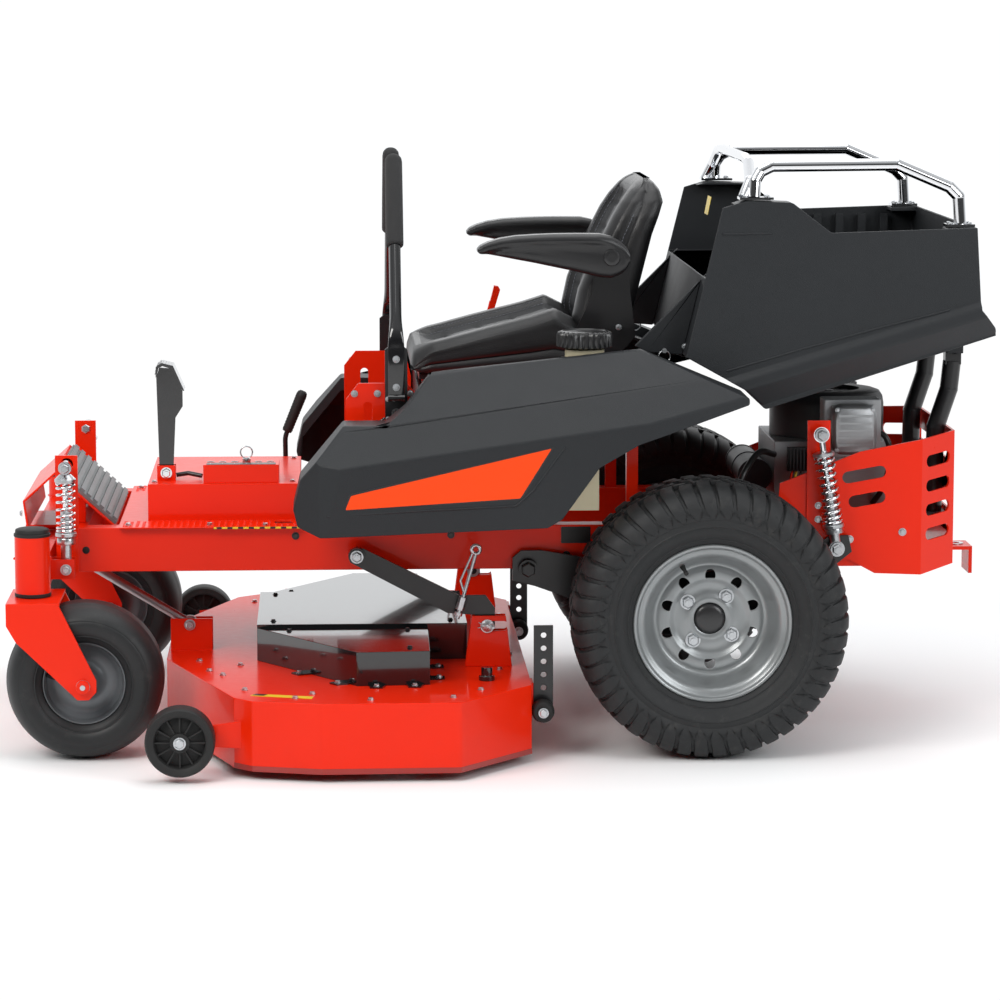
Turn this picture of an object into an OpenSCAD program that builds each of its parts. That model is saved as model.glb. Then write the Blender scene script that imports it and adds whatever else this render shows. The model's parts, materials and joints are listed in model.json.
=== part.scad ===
// Zero turn mower with a suspended chassis, a floating cutting deck and a tipping cargo bed.
// Frame: X runs from the casters (-) to the hitch (+), Y from the left side (-) to the right (+),
// Z up from the ground. All lengths in millimetres, all angles in degrees.

/* [Wheels] */
// Distance from the caster axles to the rear axle
wheelbase = 1316; // [1200:1:1400]
// Outside diameter of the drive tyres
rear_tyre_d = 584; // [560:1:600]
// Section width of the drive tyres
rear_tyre_w = 267; // [250:1:280]
// Distance between the centre planes of the drive tyres
rear_track = 1010; // [980:1:1040]
// Outside diameter of the caster tyres
caster_tyre_d = 330; // [320:1:330]
// Section width of the caster tyres
caster_tyre_w = 165; // [150:1:170]
// Distance between the caster swivel axes
caster_track = 980; // [960:1:1000]
// Distance that a caster wheel trails behind its swivel axis
caster_trail = 108; // [90:1:110]

/* [Frame] */
// Overall length, from the front of the caster tyres to the hitch
overall_l = 2126; // [2126:1:2180]
// Distance between the outer faces of the frame rails
frame_w = 636; // [620:1:636]
// Width of a frame rail
rail_w = 50; // [40:1:50]
// Underside of the frame rails above the ground
rail_bottom = 365; // [355:1:370]
// Height of the frame rails
rail_h = 95; // [80:1:100]

/* [Cutting deck] */
// Half of the overall width, out to the deck's left edge and to the chute's lip
half_w = 800; // [780:1:820]
// Right edge of the deck shell
deck_right = 620; // [600:1:640]
// Bottom of the deck skirt above the ground, with the deck down
deck_bottom = 18; // [12:1:30]
// Top plate of the deck above the ground, with the deck down
deck_top = 165; // [150:1:175]
// Wall of the deck shell
deck_wall = 4; // [3:0.5:6]
// Tip radius of a blade
blade_r = 232; // [200:1:234]

/* [Seat and bed] */
// Half width of the seat cushion
seat_half_w = 230; // [200:1:240]
// Half width of the cargo bed at its widest
bed_half_w = 448; // [420:1:460]
// Wall of the cargo bed
bed_wall = 7; // [5:1:10]

/* [Hidden] */
$fn = 48;
EPS = 0.3;                    // gap between curved faces that belong to different bodies
FIT = 0.05;                   // radial running clearance
RED = [0.80, 0.10, 0.04];
CHARCOAL = [0.16, 0.17, 0.18];
BLACK = [0.04, 0.04, 0.04];
STEEL = [0.65, 0.66, 0.67];
CREAM = [0.85, 0.82, 0.68];

front_x = -overall_l / 2;
caster_x = front_x + caster_tyre_d / 2;          // caster axle
swivel_x = caster_x - caster_trail;              // caster swivel axis
axle_x = caster_x + wheelbase;                   // drive axle
axle_z = rear_tyre_d / 2;
caster_z = caster_tyre_d / 2;
caster_y = caster_track / 2;
tyre_y = rear_track / 2;
rail_out = frame_w / 2;
rail_in = rail_out - rail_w;
rail_top = rail_bottom + rail_h;

// Front suspension
arm_pivot_y = 70;
arm_z = 387;
shock_x = -943;
shock_y = 375;
front_eye_top = 599;
front_eye_bottom = 382;
front_coil_top = 567;
front_coil_bottom = 460;

// Rear suspension
swing_x = 45;
swing_z = 369;
rshock_y = 352;
rshock_top = [676, 658];
rshock_bottom = [712, 410];
rshock_len = norm(rshock_bottom - rshock_top);
rshock_lean = atan2(rshock_bottom[0] - rshock_top[0], rshock_top[1] - rshock_bottom[1]);

// Deck
spindles = [[-255, -540], [-385, -85], [-255, 370]];
lift_pin = [-324, 405];
lift_end = [-45, 253];
lift_y = 380;
scalp = [-690, 85];
roller = [63, 106];

// Controls, seat and bed
lever_x = -238;
lever_z = 712;
swing_out_z = 745;
arm_rest_pivot = [226, 1037];
neck = [163, -385];
bed_hinge = [992, 822];

// ---------- helpers ----------

// Both sides of the machine
module both() {
    children();
    mirror([0, 1, 0]) children();
}

// One side: -1 left, 1 right. Children are drawn for the right side
module side(s) {
    if (s < 0) mirror([0, 1, 0]) children();
    else children();
}

// Box from its low corner to its high corner
module block(a, b) {
    translate(a) cube(b - a);
}

// Outline in X and Z, from y0 to y1
module plate(points, y0, y1) {
    translate([0, y1, 0]) rotate([90, 0, 0]) linear_extrude(y1 - y0) polygon(points);
}

// Cylinder along Y, at [x, z], from y0 to y1
module pin_y(at, r, y0, y1) {
    translate([at[0], y0, at[1]]) rotate([-90, 0, 0]) cylinder(h = y1 - y0, r = r);
}

// Cylinder along X, at [y, z], from x0 to x1
module pin_x(at, r, x0, x1) {
    translate([x0, at[0], at[1]]) rotate([0, 90, 0]) cylinder(h = x1 - x0, r = r);
}

// Cylinder along Z, at [x, y], from z0 to z1
module pin_z(at, r, z0, z1) {
    translate([at[0], at[1], z0]) cylinder(h = z1 - z0, r = r);
}

// Straight round bar between two points
module bar(a, b, r) {
    d = b - a;
    translate(a)
        rotate([0, acos(d[2] / norm(d)), atan2(d[1], d[0])])
            cylinder(h = norm(d), r = r);
}

// Bent round bar through a list of points
module bent_bar(points, r) {
    for (i = [0:len(points) - 2]) bar(points[i], points[i + 1], r);
    for (i = [1:len(points) - 2]) translate(points[i]) sphere(r = r + 0.3);
}

// Solid of revolution about an axis along Y, from a profile of [radius, width] points
module wheel(points, at) {
    translate(at) rotate([90, 0, 0]) rotate_extrude($fn = 96) polygon(points);
}

// Round slot through a plate that faces Y
module slot_y(at, l, r, y0, y1, tilt = 0) {
    translate([at[0], 0, at[1]]) rotate([0, -tilt, 0]) {
        pin_y([-l / 2, 0], r, y0, y1);
        pin_y([l / 2, 0], r, y0, y1);
        block([-l / 2, y0, -r], [l / 2, y1, r]);
    }
}

// ---------- chassis ----------

module frame_rails() {
    rail_front = -939;
    rail_rear = 895;
    tube = 4;
    color(RED) both() difference() {
        block([rail_front, rail_in, rail_bottom], [rail_rear, rail_out, rail_top]);
        block([rail_front - 1, rail_in + tube, rail_bottom + tube],
              [rail_rear + 1, rail_out - tube, rail_top - tube]);
    }
}

module cross_members() {
    color(RED) {
        // cross tubes between the rails
        for (x = [-960, -420, 20, 480, 850])
            block([x, -rail_in, rail_bottom], [x + 55, rail_in, rail_bottom + 90]);
        // bracket that holds the pivots of the front arms
        block([-1050, -112, 432], [-960, 112, 438]);
        block([-1050, -112, 352], [-1044, 112, 432]);
        block([-968, -112, 352], [-960, 112, 432]);
        both() {
            pin_x([arm_pivot_y, arm_z], 10, -1056, -960);
            // upright and pin of the front shock
            difference() {
                block([shock_x - 25, rail_out, rail_bottom], [shock_x + 23, rail_out + 6, 618]);
                pin_y([shock_x, 500], 8, rail_out - 1, rail_out + 7);
            }
            pin_y([shock_x, front_eye_top], 6, rail_out + 6, shock_y + 17);
            // upright and pin of the rear shock
            block([650, rail_out + 5, rail_top - 40], [700, rail_out + 10, 685]);
            pin_y(rshock_top, 8, rail_out + 10.2, rshock_y + 17);
            // stub that the rear swing frame turns on
            pin_y([swing_x, swing_z], 16, rail_out, rail_out + 36);
            // stub that a lift arm turns on
            pin_y(lift_pin, 10, rail_out, lift_y + 16);
            // lever bracket and its foot on the rail
            difference() {
                union() {
                    block([-345, 352, rail_top], [-190, 358, 700]);
                    plate([[-345, 700], [-345, 740], [-318, 774], [-215, 774], [-190, 745], [-190, 700]],
                          352, 358);
                    block([-345, rail_in, rail_top], [-190, 352, rail_top + 6]);
                }
                slot_y([-298, 712], 26, 9, 351, 359, 90);
            }
            pin_y([lever_x, lever_z], 9, 358, 380);
        }
        // engine plate
        block([535, -rail_in, rail_top - 5], [850, rail_in, rail_top]);
        // seat platform on four legs
        block([-175, -335, 742], [300, 335, 748]);
        both() for (x = [-160, 260]) block([x, 285, rail_top], [x + 25, 310, 742]);
        // hitch plate with a turned-down lip
        difference() {
            union() {
                block([855, -45, rail_bottom - 8], [overall_l / 2, 45, rail_bottom]);
                block([overall_l / 2 - 8, -45, 304], [overall_l / 2, 45, rail_bottom]);
            }
            pin_z([1030, 0], 11, rail_bottom - 20, rail_bottom + 10);
        }
    }
}

module floor_pan() {
    sheet = 3;
    z_low = rail_top;
    z_high = 540;
    color(RED) {
        block([-775, -235, z_high], [-445, 235, z_high + sheet]);
        for (x = [-775, -445 - sheet]) block([x, -235, z_low], [x + sheet, 235, z_high]);
        both() {
            block([-775 + sheet, 235 - sheet, z_low], [-445 - sheet, 235, z_high]);
            difference() {
                block([-835, 235, z_low], [-445, 335, z_low + sheet]);
                block([-500, 249, z_low - 1], [-462, 281, z_low + sheet + 1]);
            }
        }
        block([-835, -235, z_low], [-775, 235, z_low + sheet]);
    }
}

guard_line = [[-843, 452], [-975, 572], [-1045, 509], [-1037, 450]];

module footrest_guard() {
    color(RED) {
        plate([guard_line[0], guard_line[1], guard_line[2], guard_line[3],
               guard_line[3] + [5, 0], guard_line[2] + [5, -2], guard_line[1] + [0, -6],
               guard_line[0] + [-8, 0]], -245, 245);
        // feet that stand on the front cross tube
        both() block([-948, 150, rail_bottom + 90], [-912, 200, 510]);
    }
}

module footrest_pad() {
    ribs = 9;
    run = guard_line[0] - guard_line[1];
    angle = atan2(run[1], run[0]);
    length = norm(run) - 12;
    color([0.45, 0.46, 0.47])
        translate([guard_line[1][0], 0, guard_line[1][1]]) rotate([0, -angle, 0]) {
            block([6, -236, 0.5], [6 + length, 236, 7]);
            for (i = [0:ribs - 1]) {
                x = 6 + (i + 0.2) * length / ribs;
                block([x, -232, 7], [x + length / ribs * 0.6, 232, 12]);
            }
        }
}

module engine_guard() {
    t = 5;
    slots = [594, 540, 487, 434];
    fold = [901, rail_out + t];
    back = [985, 240];
    turn = atan2(fold[1] - back[1], back[0] - fold[0]);
    panel = norm(back - fold);
    half = [[585, fold[1]], fold, back];
    half_in = [[585, fold[1] - t], [fold[0] - 2, fold[1] - t], [back[0] - t, back[1] - 2]];
    color(RED) difference() {
        // one sheet bent round three sides, with its edges trimmed
        intersection() {
            linear_extrude(700) polygon(concat(half, [for (i = [2:-1:0]) [half[i][0], -half[i][1]]],
                [for (p = half_in) [p[0], -p[1]]], [for (i = [2:-1:0]) half_in[i]]));
            plate([[585, rail_top + 2], [592, 548], [766, 616], [901, 642], [985, 652], [1000, 652],
                   [1000, 358], [985, 358], [901, 346], [800, 350], [745, 380], [640, 380],
                   [600, 420]], -400, 400);
        }
        both() {
            slot_y([775, 566], 70, 13, rail_out - 1, rail_out + t + 1, 10);
            slot_y([782, 512], 55, 13, rail_out - 1, rail_out + t + 1, 10);
            // slots of the slanted panel
            translate([fold[0], fold[1], 0]) rotate([0, 0, -turn])
                for (z = slots) slot_y([panel / 2, z], panel * 0.5, 13, -t - 3, 3, 4);
        }
        for (z = slots, y = [-130, 130])
            block([back[0] - t - 1, y - 75, z - 12], [back[0] + 1, y + 75, z + 12]);
        // way for the hitch plate
        block([back[0] - t - 1, -50, 340], [back[0] + 1, 50, rail_bottom + 2]);
    }
}

module bed_frame_tubes() {
    color(BLACK) both() {
        bent_bar([[951, 165, rail_bottom + 98], [955, 165, 650], [983, 165, 735],
                  [bed_hinge[0] - 3, 165, 796]], 20);
        // foot on the rear cross tube, and the eye that the bed turns on
        block([860, 138, rail_bottom + 90], [978, 192, rail_bottom + 100]);
        difference() {
            union() {
                block([bed_hinge[0] - 20, 150, 790], [bed_hinge[0] + 15, 180, bed_hinge[1]]);
                pin_y(bed_hinge, 17, 150, 180);
            }
            pin_y(bed_hinge, 8 + FIT, 149, 181);
        }
    }
}

// Side outline of a fender: its lower edge from front to rear, then its upper edge back
fender_bottom = [[-458, 530], [-449, 494], [-402, 475], [73, 493], [104, 512], [181, 620],
                 [264, 668], [495, 748]];
fender_top = [[495, 762], [278, 853], [-167, 806], [-220, 738], [-263, 703], [-352, 703],
              [-443, 594]];
// Front view of a fender, as [y, height above the sloping crease]
fender_view = [[425, -260], [588, -260], [604, 0], [546, 67], [452, 150], [425, 160]];
// Plan view of a fender
fender_plan = [[-470, 545], [-402, 592], [-349, 606], [265, 606], [500, 582], [500, 432],
               [-470, 432]];
fender_slope = 0.142;
console_in = 338;

// Fender form, shrunk by d from every face, with its lower edge moved down by drop
module fender_form(d, drop) {
    intersection() {
        translate([0, 620, 0]) rotate([90, 0, 0]) linear_extrude(200) offset(delta = -d)
            polygon(concat([for (p = fender_bottom) p - [0, drop]], fender_top));
        multmatrix([[1, 0, 0, 0], [0, 1, 0, 0], [fender_slope, 0, 1, 622 + fender_slope * 349]])
            rotate([90, 0, 90]) translate([0, 0, -480]) linear_extrude(1000)
                offset(delta = -d) polygon(fender_view);
        translate([0, 0, 400]) linear_extrude(500) offset(delta = -d) polygon(fender_plan);
    }
}

module fenders() {
    sheet = 5;
    lip = 30;
    color(CHARCOAL) {
        both() difference() {
            fender_form(0, 0);
            fender_form(sheet, 60);
            // the inner side is open below its lip
            plate(concat([for (p = fender_bottom) p - [0, 60]], [for (p = fender_top) p - [0, lip]]),
                  420, 432 + sheet + 1);
        }
        // consoles beside the seat, with the opening for the filler neck
        difference() {
            both() plate([[-160, 772], [-160, 777], [278, 824], [480, 750], [480, 745], [278, 819]],
                         console_in, 431.5);
            pin_z(neck, 52, 700, 900);
        }
        // panel below the front of the seat
        block([-186, -335, rail_top + 7], [-180, 335, 742]);
    }
}

module fuel_tank() {
    color(CREAM) {
        difference() {
            block([-60, -520, 520], [185, -345, 715]);
            block([-54, -514, 526], [179, -351, 709]);
        }
        difference() {
            pin_z(neck, 42, 715, 848);
            pin_z(neck, 34, 714, 849);
        }
    }
}

module engine_block() {
    fins = 5;
    color(STEEL) {
        block([600, -150, rail_top], [860, 150, 618]);
        both() {
            for (i = [0:fins - 1])
                block([700, 150 + i * 15, 590], [826, 157 + i * 15, 718]);
            block([716, 150, 602], [810, 225, 706]);
        }
        // crankshaft stub and drive pulley under the engine plate
        pin_z([730, 0], 15, 400, rail_top - 5);
        pin_z([730, 0], 60, 378, 402);
    }
}

module engine_fittings() {
    muffler = [560, 540];
    color([0.12, 0.12, 0.13]) {
        // blower housing
        difference() {
            pin_z([735, 0], 128, 618, 722);
            pin_z([735, 0], 70, 700, 723);
        }
        pin_z([735, 0], 62, 700, 716);
        // muffler
        pin_y(muffler, 38, -130, 130);
    }
    color(STEEL) both() {
        // valve covers
        block([713, 226, 600], [812, 262, 711]);
        pin_y([762, 655], 30, 262, 268);
    }
}

module height_stop_box() {
    color(RED) difference() {
        block([-655, -225, 543], [-491, -120, 583]);
        block([-652, -222, 542], [-494, -123, 580]);
        for (i = [0:5]) pin_z([-640 + 26 * i, -172], 5, 578, 584);
    }
}

module height_pin() {
    color(STEEL) {
        pin_z([-562, -172], 4.9, 545, 590);
        pin_z([-562, -172], 9, 583 + EPS, 590);
    }
}

module seat_rails() {
    color(BLACK) both() block([-150, 150, 748], [250, 185, 765]);
}

// ---------- front suspension and casters ----------

module front_shock_rods() {
    color(STEEL) both() {
        difference() {
            pin_y([shock_x, front_eye_top], 14, shock_y - 11, shock_y + 11);
            pin_y([shock_x, front_eye_top], 6, shock_y - 12, shock_y + 12);
        }
        pin_z([shock_x, shock_y], 6, 432, front_eye_top - 12);
        pin_z([shock_x, shock_y], 22, front_coil_top, front_coil_top + 7);
    }
}

module front_arm(s) {
    barrel_r = 37;
    side(s) color(RED) {
        difference() {
            union() {
                block([swivel_x - 30, arm_pivot_y, 352], [swivel_x + 30, caster_y - 20, 422]);
                pin_x([arm_pivot_y, arm_z], 30, -1043, -969);
                pin_z([swivel_x, caster_y], barrel_r, 342, 475);
            }
            pin_x([arm_pivot_y, arm_z], 10 + FIT, -1044, -968);
            pin_z([swivel_x, caster_y], 15 + FIT, 341, 476);
        }
        // clevis for the lower eye of the shock
        for (y = [shock_y - 21, shock_y + 15])
            block([swivel_x + 30, y, 362], [shock_x + 18, y + 6, 404]);
        pin_y([shock_x, front_eye_bottom], 6, shock_y - 15, shock_y + 15);
    }
}

module front_shock_body(s) {
    side(s) color(STEEL) {
        difference() {
            pin_y([shock_x, front_eye_bottom], 14, shock_y - 11, shock_y + 11);
            pin_y([shock_x, front_eye_bottom], 9.5, shock_y - 12, shock_y + 12);
        }
        difference() {
            union() {
                pin_z([shock_x, shock_y], 11.5, front_eye_bottom + 11, 505);
                pin_z([shock_x, shock_y], 22, front_coil_bottom - 8, front_coil_bottom);
            }
            pin_z([shock_x, shock_y], 6 + FIT, 404, 506);
        }
    }
}

// Stack of rings that stands for a coil
module coil(r, wire, z0, z1, turns) {
    pitch = (z1 - z0) / turns;
    for (i = [0:turns - 1])
        translate([0, 0, z0 + (i + 0.5) * pitch])
            rotate_extrude() translate([r, 0]) circle(r = wire, $fn = 16);
    for (a = [0, 180])
        rotate(a) translate([r, 0, z0]) cylinder(h = z1 - z0, r = wire * 0.45, $fn = 16);
}

module front_spring(s) {
    side(s) color([0.8, 0.8, 0.82])
        translate([shock_x, shock_y, 0]) coil(18, 3, front_coil_bottom + 0.5, front_coil_top - 0.5, 10);
}

module caster_fork(s) {
    leg_in = caster_tyre_w / 2 + 8;
    leg_t = 8;
    tyre_gap = 4;
    plate_z = caster_tyre_d + tyre_gap;
    side(s) color(RED) {
        translate([0, caster_y, 0]) {
            block([swivel_x - 50, -leg_in - leg_t, plate_z], [swivel_x + 61, leg_in + leg_t, plate_z + 7]);
            for (y = [-leg_in - leg_t, leg_in]) {
                plate([[swivel_x - 50, plate_z], [swivel_x + 61, plate_z], [caster_x + 28, caster_z + 12],
                       [caster_x + 28, caster_z - 12], [caster_x + 12, caster_z - 29],
                       [caster_x - 12, caster_z - 29], [caster_x - 27, caster_z - 14],
                       [swivel_x - 30, plate_z - 75], [swivel_x - 50, plate_z - 40]],
                      y, y + leg_t);
            }
        }
        pin_z([swivel_x, caster_y], 15, plate_z + 7, 476);
        pin_z([swivel_x, caster_y], 24, 475 + EPS, 486);
        pin_y([caster_x, caster_z], 8, caster_y - leg_in - leg_t - 10, caster_y + leg_in + leg_t + 10);
        pin_y([caster_x, caster_z], 14, caster_y - leg_in - leg_t - 12, caster_y - leg_in - leg_t);
        pin_y([caster_x, caster_z], 14, caster_y + leg_in + leg_t, caster_y + leg_in + leg_t + 12);
    }
}

module caster_rim(s) {
    r_flange = 87;
    w = 62;
    side(s) color([0.62, 0.63, 0.65])
        wheel([[8 + FIT, -80], [20, -80], [22, -40], [60, -30], [70, -w + 8], [r_flange - 7, -w],
               [r_flange, -w], [r_flange, -w + 5], [r_flange - 7, -w + 6], [r_flange - 12, -w + 26],
               [r_flange - 12, w - 26], [r_flange - 7, w - 6], [r_flange, w - 5], [r_flange, w],
               [r_flange - 7, w], [70, w - 8], [60, 30], [22, 40], [20, 80], [8 + FIT, 80]],
              [caster_x, caster_y, caster_z]);
}

module caster_tyre(s) {
    r = caster_tyre_d / 2;
    w = caster_tyre_w / 2;
    side(s) color(BLACK)
        wheel([[87.02, 55], [100, 72], [124, w], [146, w - 8], [160, w - 30], [r, 30], [r, -30],
               [160, -w + 30], [146, -w + 8], [124, -w], [100, -72], [87.02, -55],
               [87.02, -44], [100, -58], [124, -66], [140, -60], [148, -40], [150, -20], [150, 20],
               [148, 40], [140, 60], [124, 66], [100, 58], [87.02, 44]],
              [caster_x, caster_y, caster_z]);
}

// ---------- rear suspension and drive wheels ----------

module rear_swing_frame() {
    color(BLACK) {
        both() {
            difference() {
                plate([[12, 392], [30, 408], [75, 408], [400, 352], [650, 396], [700, 436], [740, 436],
                       [748, 400], [660, 330], [480, 232], [350, 232], [250, 262], [60, 330], [12, 342]],
                      rail_out + 12, rail_out + 22);
                pin_y([swing_x, swing_z], 16 + FIT, rail_out, rail_out + 40);
                pin_y([axle_x, axle_z], 40, rail_out, rail_out + 40);
            }
            pin_y(rshock_bottom, 8, rail_out + 22, rshock_y + 17);
        }
        // cross tubes that join the two arms
        for (x = [230, 560]) block([x, -rail_out - 12, 270], [x + 40, rail_out + 12, 310]);
    }
}

module transaxles() {
    color([0.30, 0.31, 0.32]) both() {
        difference() {
            union() {
                block([330, 150, 215], [505, 300, 330]);
                pin_y([axle_x, axle_z], 36, 300, rail_out + 28);
                pin_z([axle_x - 30, 225], 35, 330, 347);
            }
            pin_y([axle_x, axle_z], 17 + FIT, 250, rail_out + 30);
        }
        block([505, 180, 272], [560, 270, 308]);
        block([270, 180, 272], [330, 270, 308]);
    }
}

module rear_rim(s) {
    w = 108;
    r_flange = 165.5;
    lugs = 4;
    vents = 10;
    side(s) color([0.72, 0.73, 0.75]) difference() {
        union() {
            wheel([[17, 0], [58, 0], [58, -30], [100, -44], [122, -40], [134, -62], [143, -90],
                   [155, -100], [155, -104], [r_flange, -104], [r_flange, -w], [156, -w],
                   [150, -104], [139, -92], [131, -64], [119, -46], [100, -50], [50, -36],
                   [50, -46], [34, -50], [0, -50], [0, 0]],
                  [axle_x, tyre_y, axle_z]);
            wheel([[134, -62], [143, -90], [155, -100], [155, -84], [148, -78], [140, -40], [140, 70],
                   [155, 84], [155, 104], [r_flange, 104], [r_flange, w], [151, w], [150, 86],
                   [135, 72], [135, -40]],
                  [axle_x, tyre_y, axle_z]);
            pin_y([axle_x, axle_z], 17, rail_out - 6, tyre_y);
            pin_y([axle_x, axle_z], 55, tyre_y - 30, tyre_y);
            for (i = [0:lugs - 1]) rotate_about_axle(360 / lugs * (i + 0.5))
                pin_y([axle_x + 58, axle_z], 11, tyre_y + 36, tyre_y + 54);
        }
        for (i = [0:vents - 1]) rotate_about_axle(360 / vents * i)
            pin_y([axle_x + 97, axle_z], 9.5, tyre_y + 30, tyre_y + 60);
    }
}

module rotate_about_axle(a) {
    translate([axle_x, 0, axle_z]) rotate([0, a, 0]) translate([-axle_x, 0, -axle_z]) children();
}

module rear_tyre(s) {
    r = rear_tyre_d / 2;
    w = rear_tyre_w / 2;
    side(s) color(BLACK)
        wheel([[155, 103], [168, 103], [200, 124], [235, w], [268, 126], [285, 108], [r, 80],
               [r, -80], [285, -108], [268, -126], [235, -w], [200, -124], [168, -103], [155, -103],
               [155, -90], [168, -90], [200, -110], [235, -119], [262, -110], [272, -80],
               [272, 80], [262, 110], [235, 119], [200, 110], [168, 90], [155, 90]],
              [axle_x, tyre_y, axle_z]);
}

// Places children so that the shock's axis is Z and its top eye is the origin
module on_rear_shock() {
    both() translate([rshock_top[0], rshock_y, rshock_top[1]]) rotate([0, -rshock_lean, 0]) children();
}

module rear_shock_rods() {
    color(STEEL) on_rear_shock() {
        difference() {
            pin_y([0, 0], 17, -12, 12);
            pin_y([0, 0], 8 + FIT, -13, 13);
        }
        pin_z([0, 0], 7, -175, -15);
        pin_z([0, 0], 23, -48, -40);
    }
}

module rear_springs() {
    color([0.8, 0.8, 0.82]) on_rear_shock() coil(19.5, 3.5, -196.5, -48.5, 11);
}

module rear_shock_bodies() {
    color(STEEL) on_rear_shock() {
        difference() {
            pin_y([0, -rshock_len], 17, -11, 12);
            pin_y([0, -rshock_len], 9.5, -12, 13);
        }
        difference() {
            union() {
                pin_z([0, 0], 11.5, -rshock_len + 12, -120);
                pin_z([0, 0], 23, -205, -197);
            }
            pin_z([0, 0], 7 + FIT, -rshock_len + 22, -119);
        }
    }
}

// ---------- cutting deck ----------

deck_outline = [[-737, -271], [-581, -723], [-543, -762], [-400, -half_w], [-116, -795],
                [39, -612], [39, 470], [-60, deck_right], [-500, deck_right], [-600, 540],
                [-737, 180]];

module deck_shell() {
    inner_z = deck_top - deck_wall;
    color(RED) {
        difference() {
            union() {
                difference() {
                    translate([0, 0, deck_bottom]) linear_extrude(deck_top - deck_bottom)
                        polygon(deck_outline);
                    translate([0, 0, deck_bottom - 1]) linear_extrude(inner_z - deck_bottom + 1)
                        offset(delta = -deck_wall) polygon(deck_outline);
                }
                for (p = spindles) pin_z(p, 48, 105, deck_top + 12);
            }
            for (p = spindles) pin_z(p, 12.5 + FIT, 100, deck_top + 20);
            // discharge opening on the right
            block([-470, deck_right - 10, deck_bottom - 1], [-170, deck_right + 1, 132]);
        }
        // slotted hangers for the lift arms
        both() for (y = [lift_y - 16, lift_y + 9]) difference() {
            plate([[-92, deck_top + 0.2], [-78, 275], [-5, 275], [8, deck_top + 0.2]], y, y + 6);
            slot_y([-28, 253], 36, 10.5, y - 1, y + 7);
        }
        // channel on the front edge
        block([-732, -170, deck_top], [-640, -162, 235]);
        block([-732, -138, deck_top], [-640, -130, 235]);
        // bracket arms and axles of the anti-scalp wheels
        plate([[-700, 70], [-700, 100], [-560, 120], [-540, 60]], -738, -732);
        plate([[-700, 70], [-700, 100], [-500, 118], [-500, 60]], 732, 738);
        block([-530, deck_right, 60], [-500, 732, 115]);
        pin_y(scalp, 8, -804 + 8, -738);
        pin_y(scalp, 8, 738, 804 - 8);
        // brackets and axles of the rear rollers
        for (y = [-566, 420]) {
            block([39, y, 90], [45, y + 60, 160]);
            difference() {
                block([45.2, y, 92], [86, y + 6, 283]);
                for (i = [0:4]) pin_y([66, 150 + 28 * i], 6, y - 1, y + 7);
            }
            pin_y(roller, 6, y - 52, y);
        }
        // hinge rod of the chute, on two lugs
        for (x = [-500, -160]) block([x - 6, deck_right, 140], [x + 6, deck_right + 16, 160]);
        pin_x([deck_right + 10, 150], 5, -506, -154);
    }
}

// Folded cover, open underneath
module cover(points, top) {
    t = 3;
    difference() {
        translate([0, 0, deck_top]) linear_extrude(top - deck_top) polygon(points);
        translate([0, 0, deck_top - 1]) linear_extrude(top - deck_top + 1 - t)
            offset(delta = -t) polygon(points);
    }
}

module deck_covers() {
    middle = spindles[1][1];
    left = [[-540, -304], [-326, -610], [-174, -600], [-170, -304]];
    color(BLACK) {
        cover(left, 237);
        cover([for (p = left) [p[0], 2 * middle - p[1]]], 237);
        difference() {
            cover([[-540, -303], [-540, 133], [-85, 133], [-85, -303]], 244);
            // way for the belts between the covers
            for (y = [-303, 133])
                block([-430, y - 6, deck_top - 1], [-200, y + 6, 232]);
        }
        // flanges bolted to the deck
        for (x = [-520, -120]) block([x, -250, deck_top], [x + 30, -200, deck_top + 3]);
        // hose port for washing the deck
        pin_z([-53, -552], 17, deck_top, deck_top + 10);
        pin_z([-53, -552], 12, deck_top + 10, deck_top + 28);
    }
}

module blade(i) {
    p = spindles[i];
    bar_w = 62;
    color(STEEL) {
        translate([p[0], p[1], 40]) {
            block([-bar_w / 2, -blade_r, 0], [bar_w / 2, blade_r, 6]);
            for (a = [0, 180]) rotate(a) translate([-bar_w / 2, blade_r - 90, 6])
                rotate([0, -35, 0]) block([-4, 0, 0], [4, 80, 22]);
        }
        pin_z(p, 12.5, 46, 222);
        pin_z(p, 30, 46, 100);
        pin_z(p, 60, 186, 206);
        pin_z(p, 18, 30, 40);
    }
}

module deck_lift_arms() {
    color(BLACK) both() {
        difference() {
            union() {
                plate([[lift_pin[0] - 14, lift_pin[1] + 14], [lift_pin[0] + 14, lift_pin[1] + 16],
                       [-105, 318], [-48, 318], [-28, 290], [-28, 244], [-60, 244], [-72, 276],
                       [-130, 280], [lift_pin[0] - 14, lift_pin[1] - 14]],
                      lift_y - 4, lift_y + 4);
                pin_y(lift_pin, 18, lift_y - 12, lift_y + 12);
            }
            pin_y(lift_pin, 10 + FIT, lift_y - 13, lift_y + 13);
        }
        pin_y(lift_end, 8, lift_y - 19, lift_y + 19);
    }
}

pedal_y = -160;
pedal_pivot = [-737, 560];

module deck_pedal() {
    color(BLACK) {
        difference() {
            union() {
                plate([[-757, 770], [-750, 790], [-722, 788], [-700, 740], [-700, 705], [-716, 680],
                       [-722, 560], [-737, 546], [-752, 560]], pedal_y - 5, pedal_y + 5);
                pin_y(pedal_pivot, 15, pedal_y - 8, pedal_y + 8);
            }
            pin_y(pedal_pivot, 7 + FIT, pedal_y - 9, pedal_y + 9);
        }
    }
    color(STEEL) plate([[-757, 770], [-750, 792], [-742, 796], [-722, 790], [-698, 742], [-695, 742],
                        [-719, 797], [-744, 803], [-756, 795]], pedal_y - 35, pedal_y + 35);
}

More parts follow.
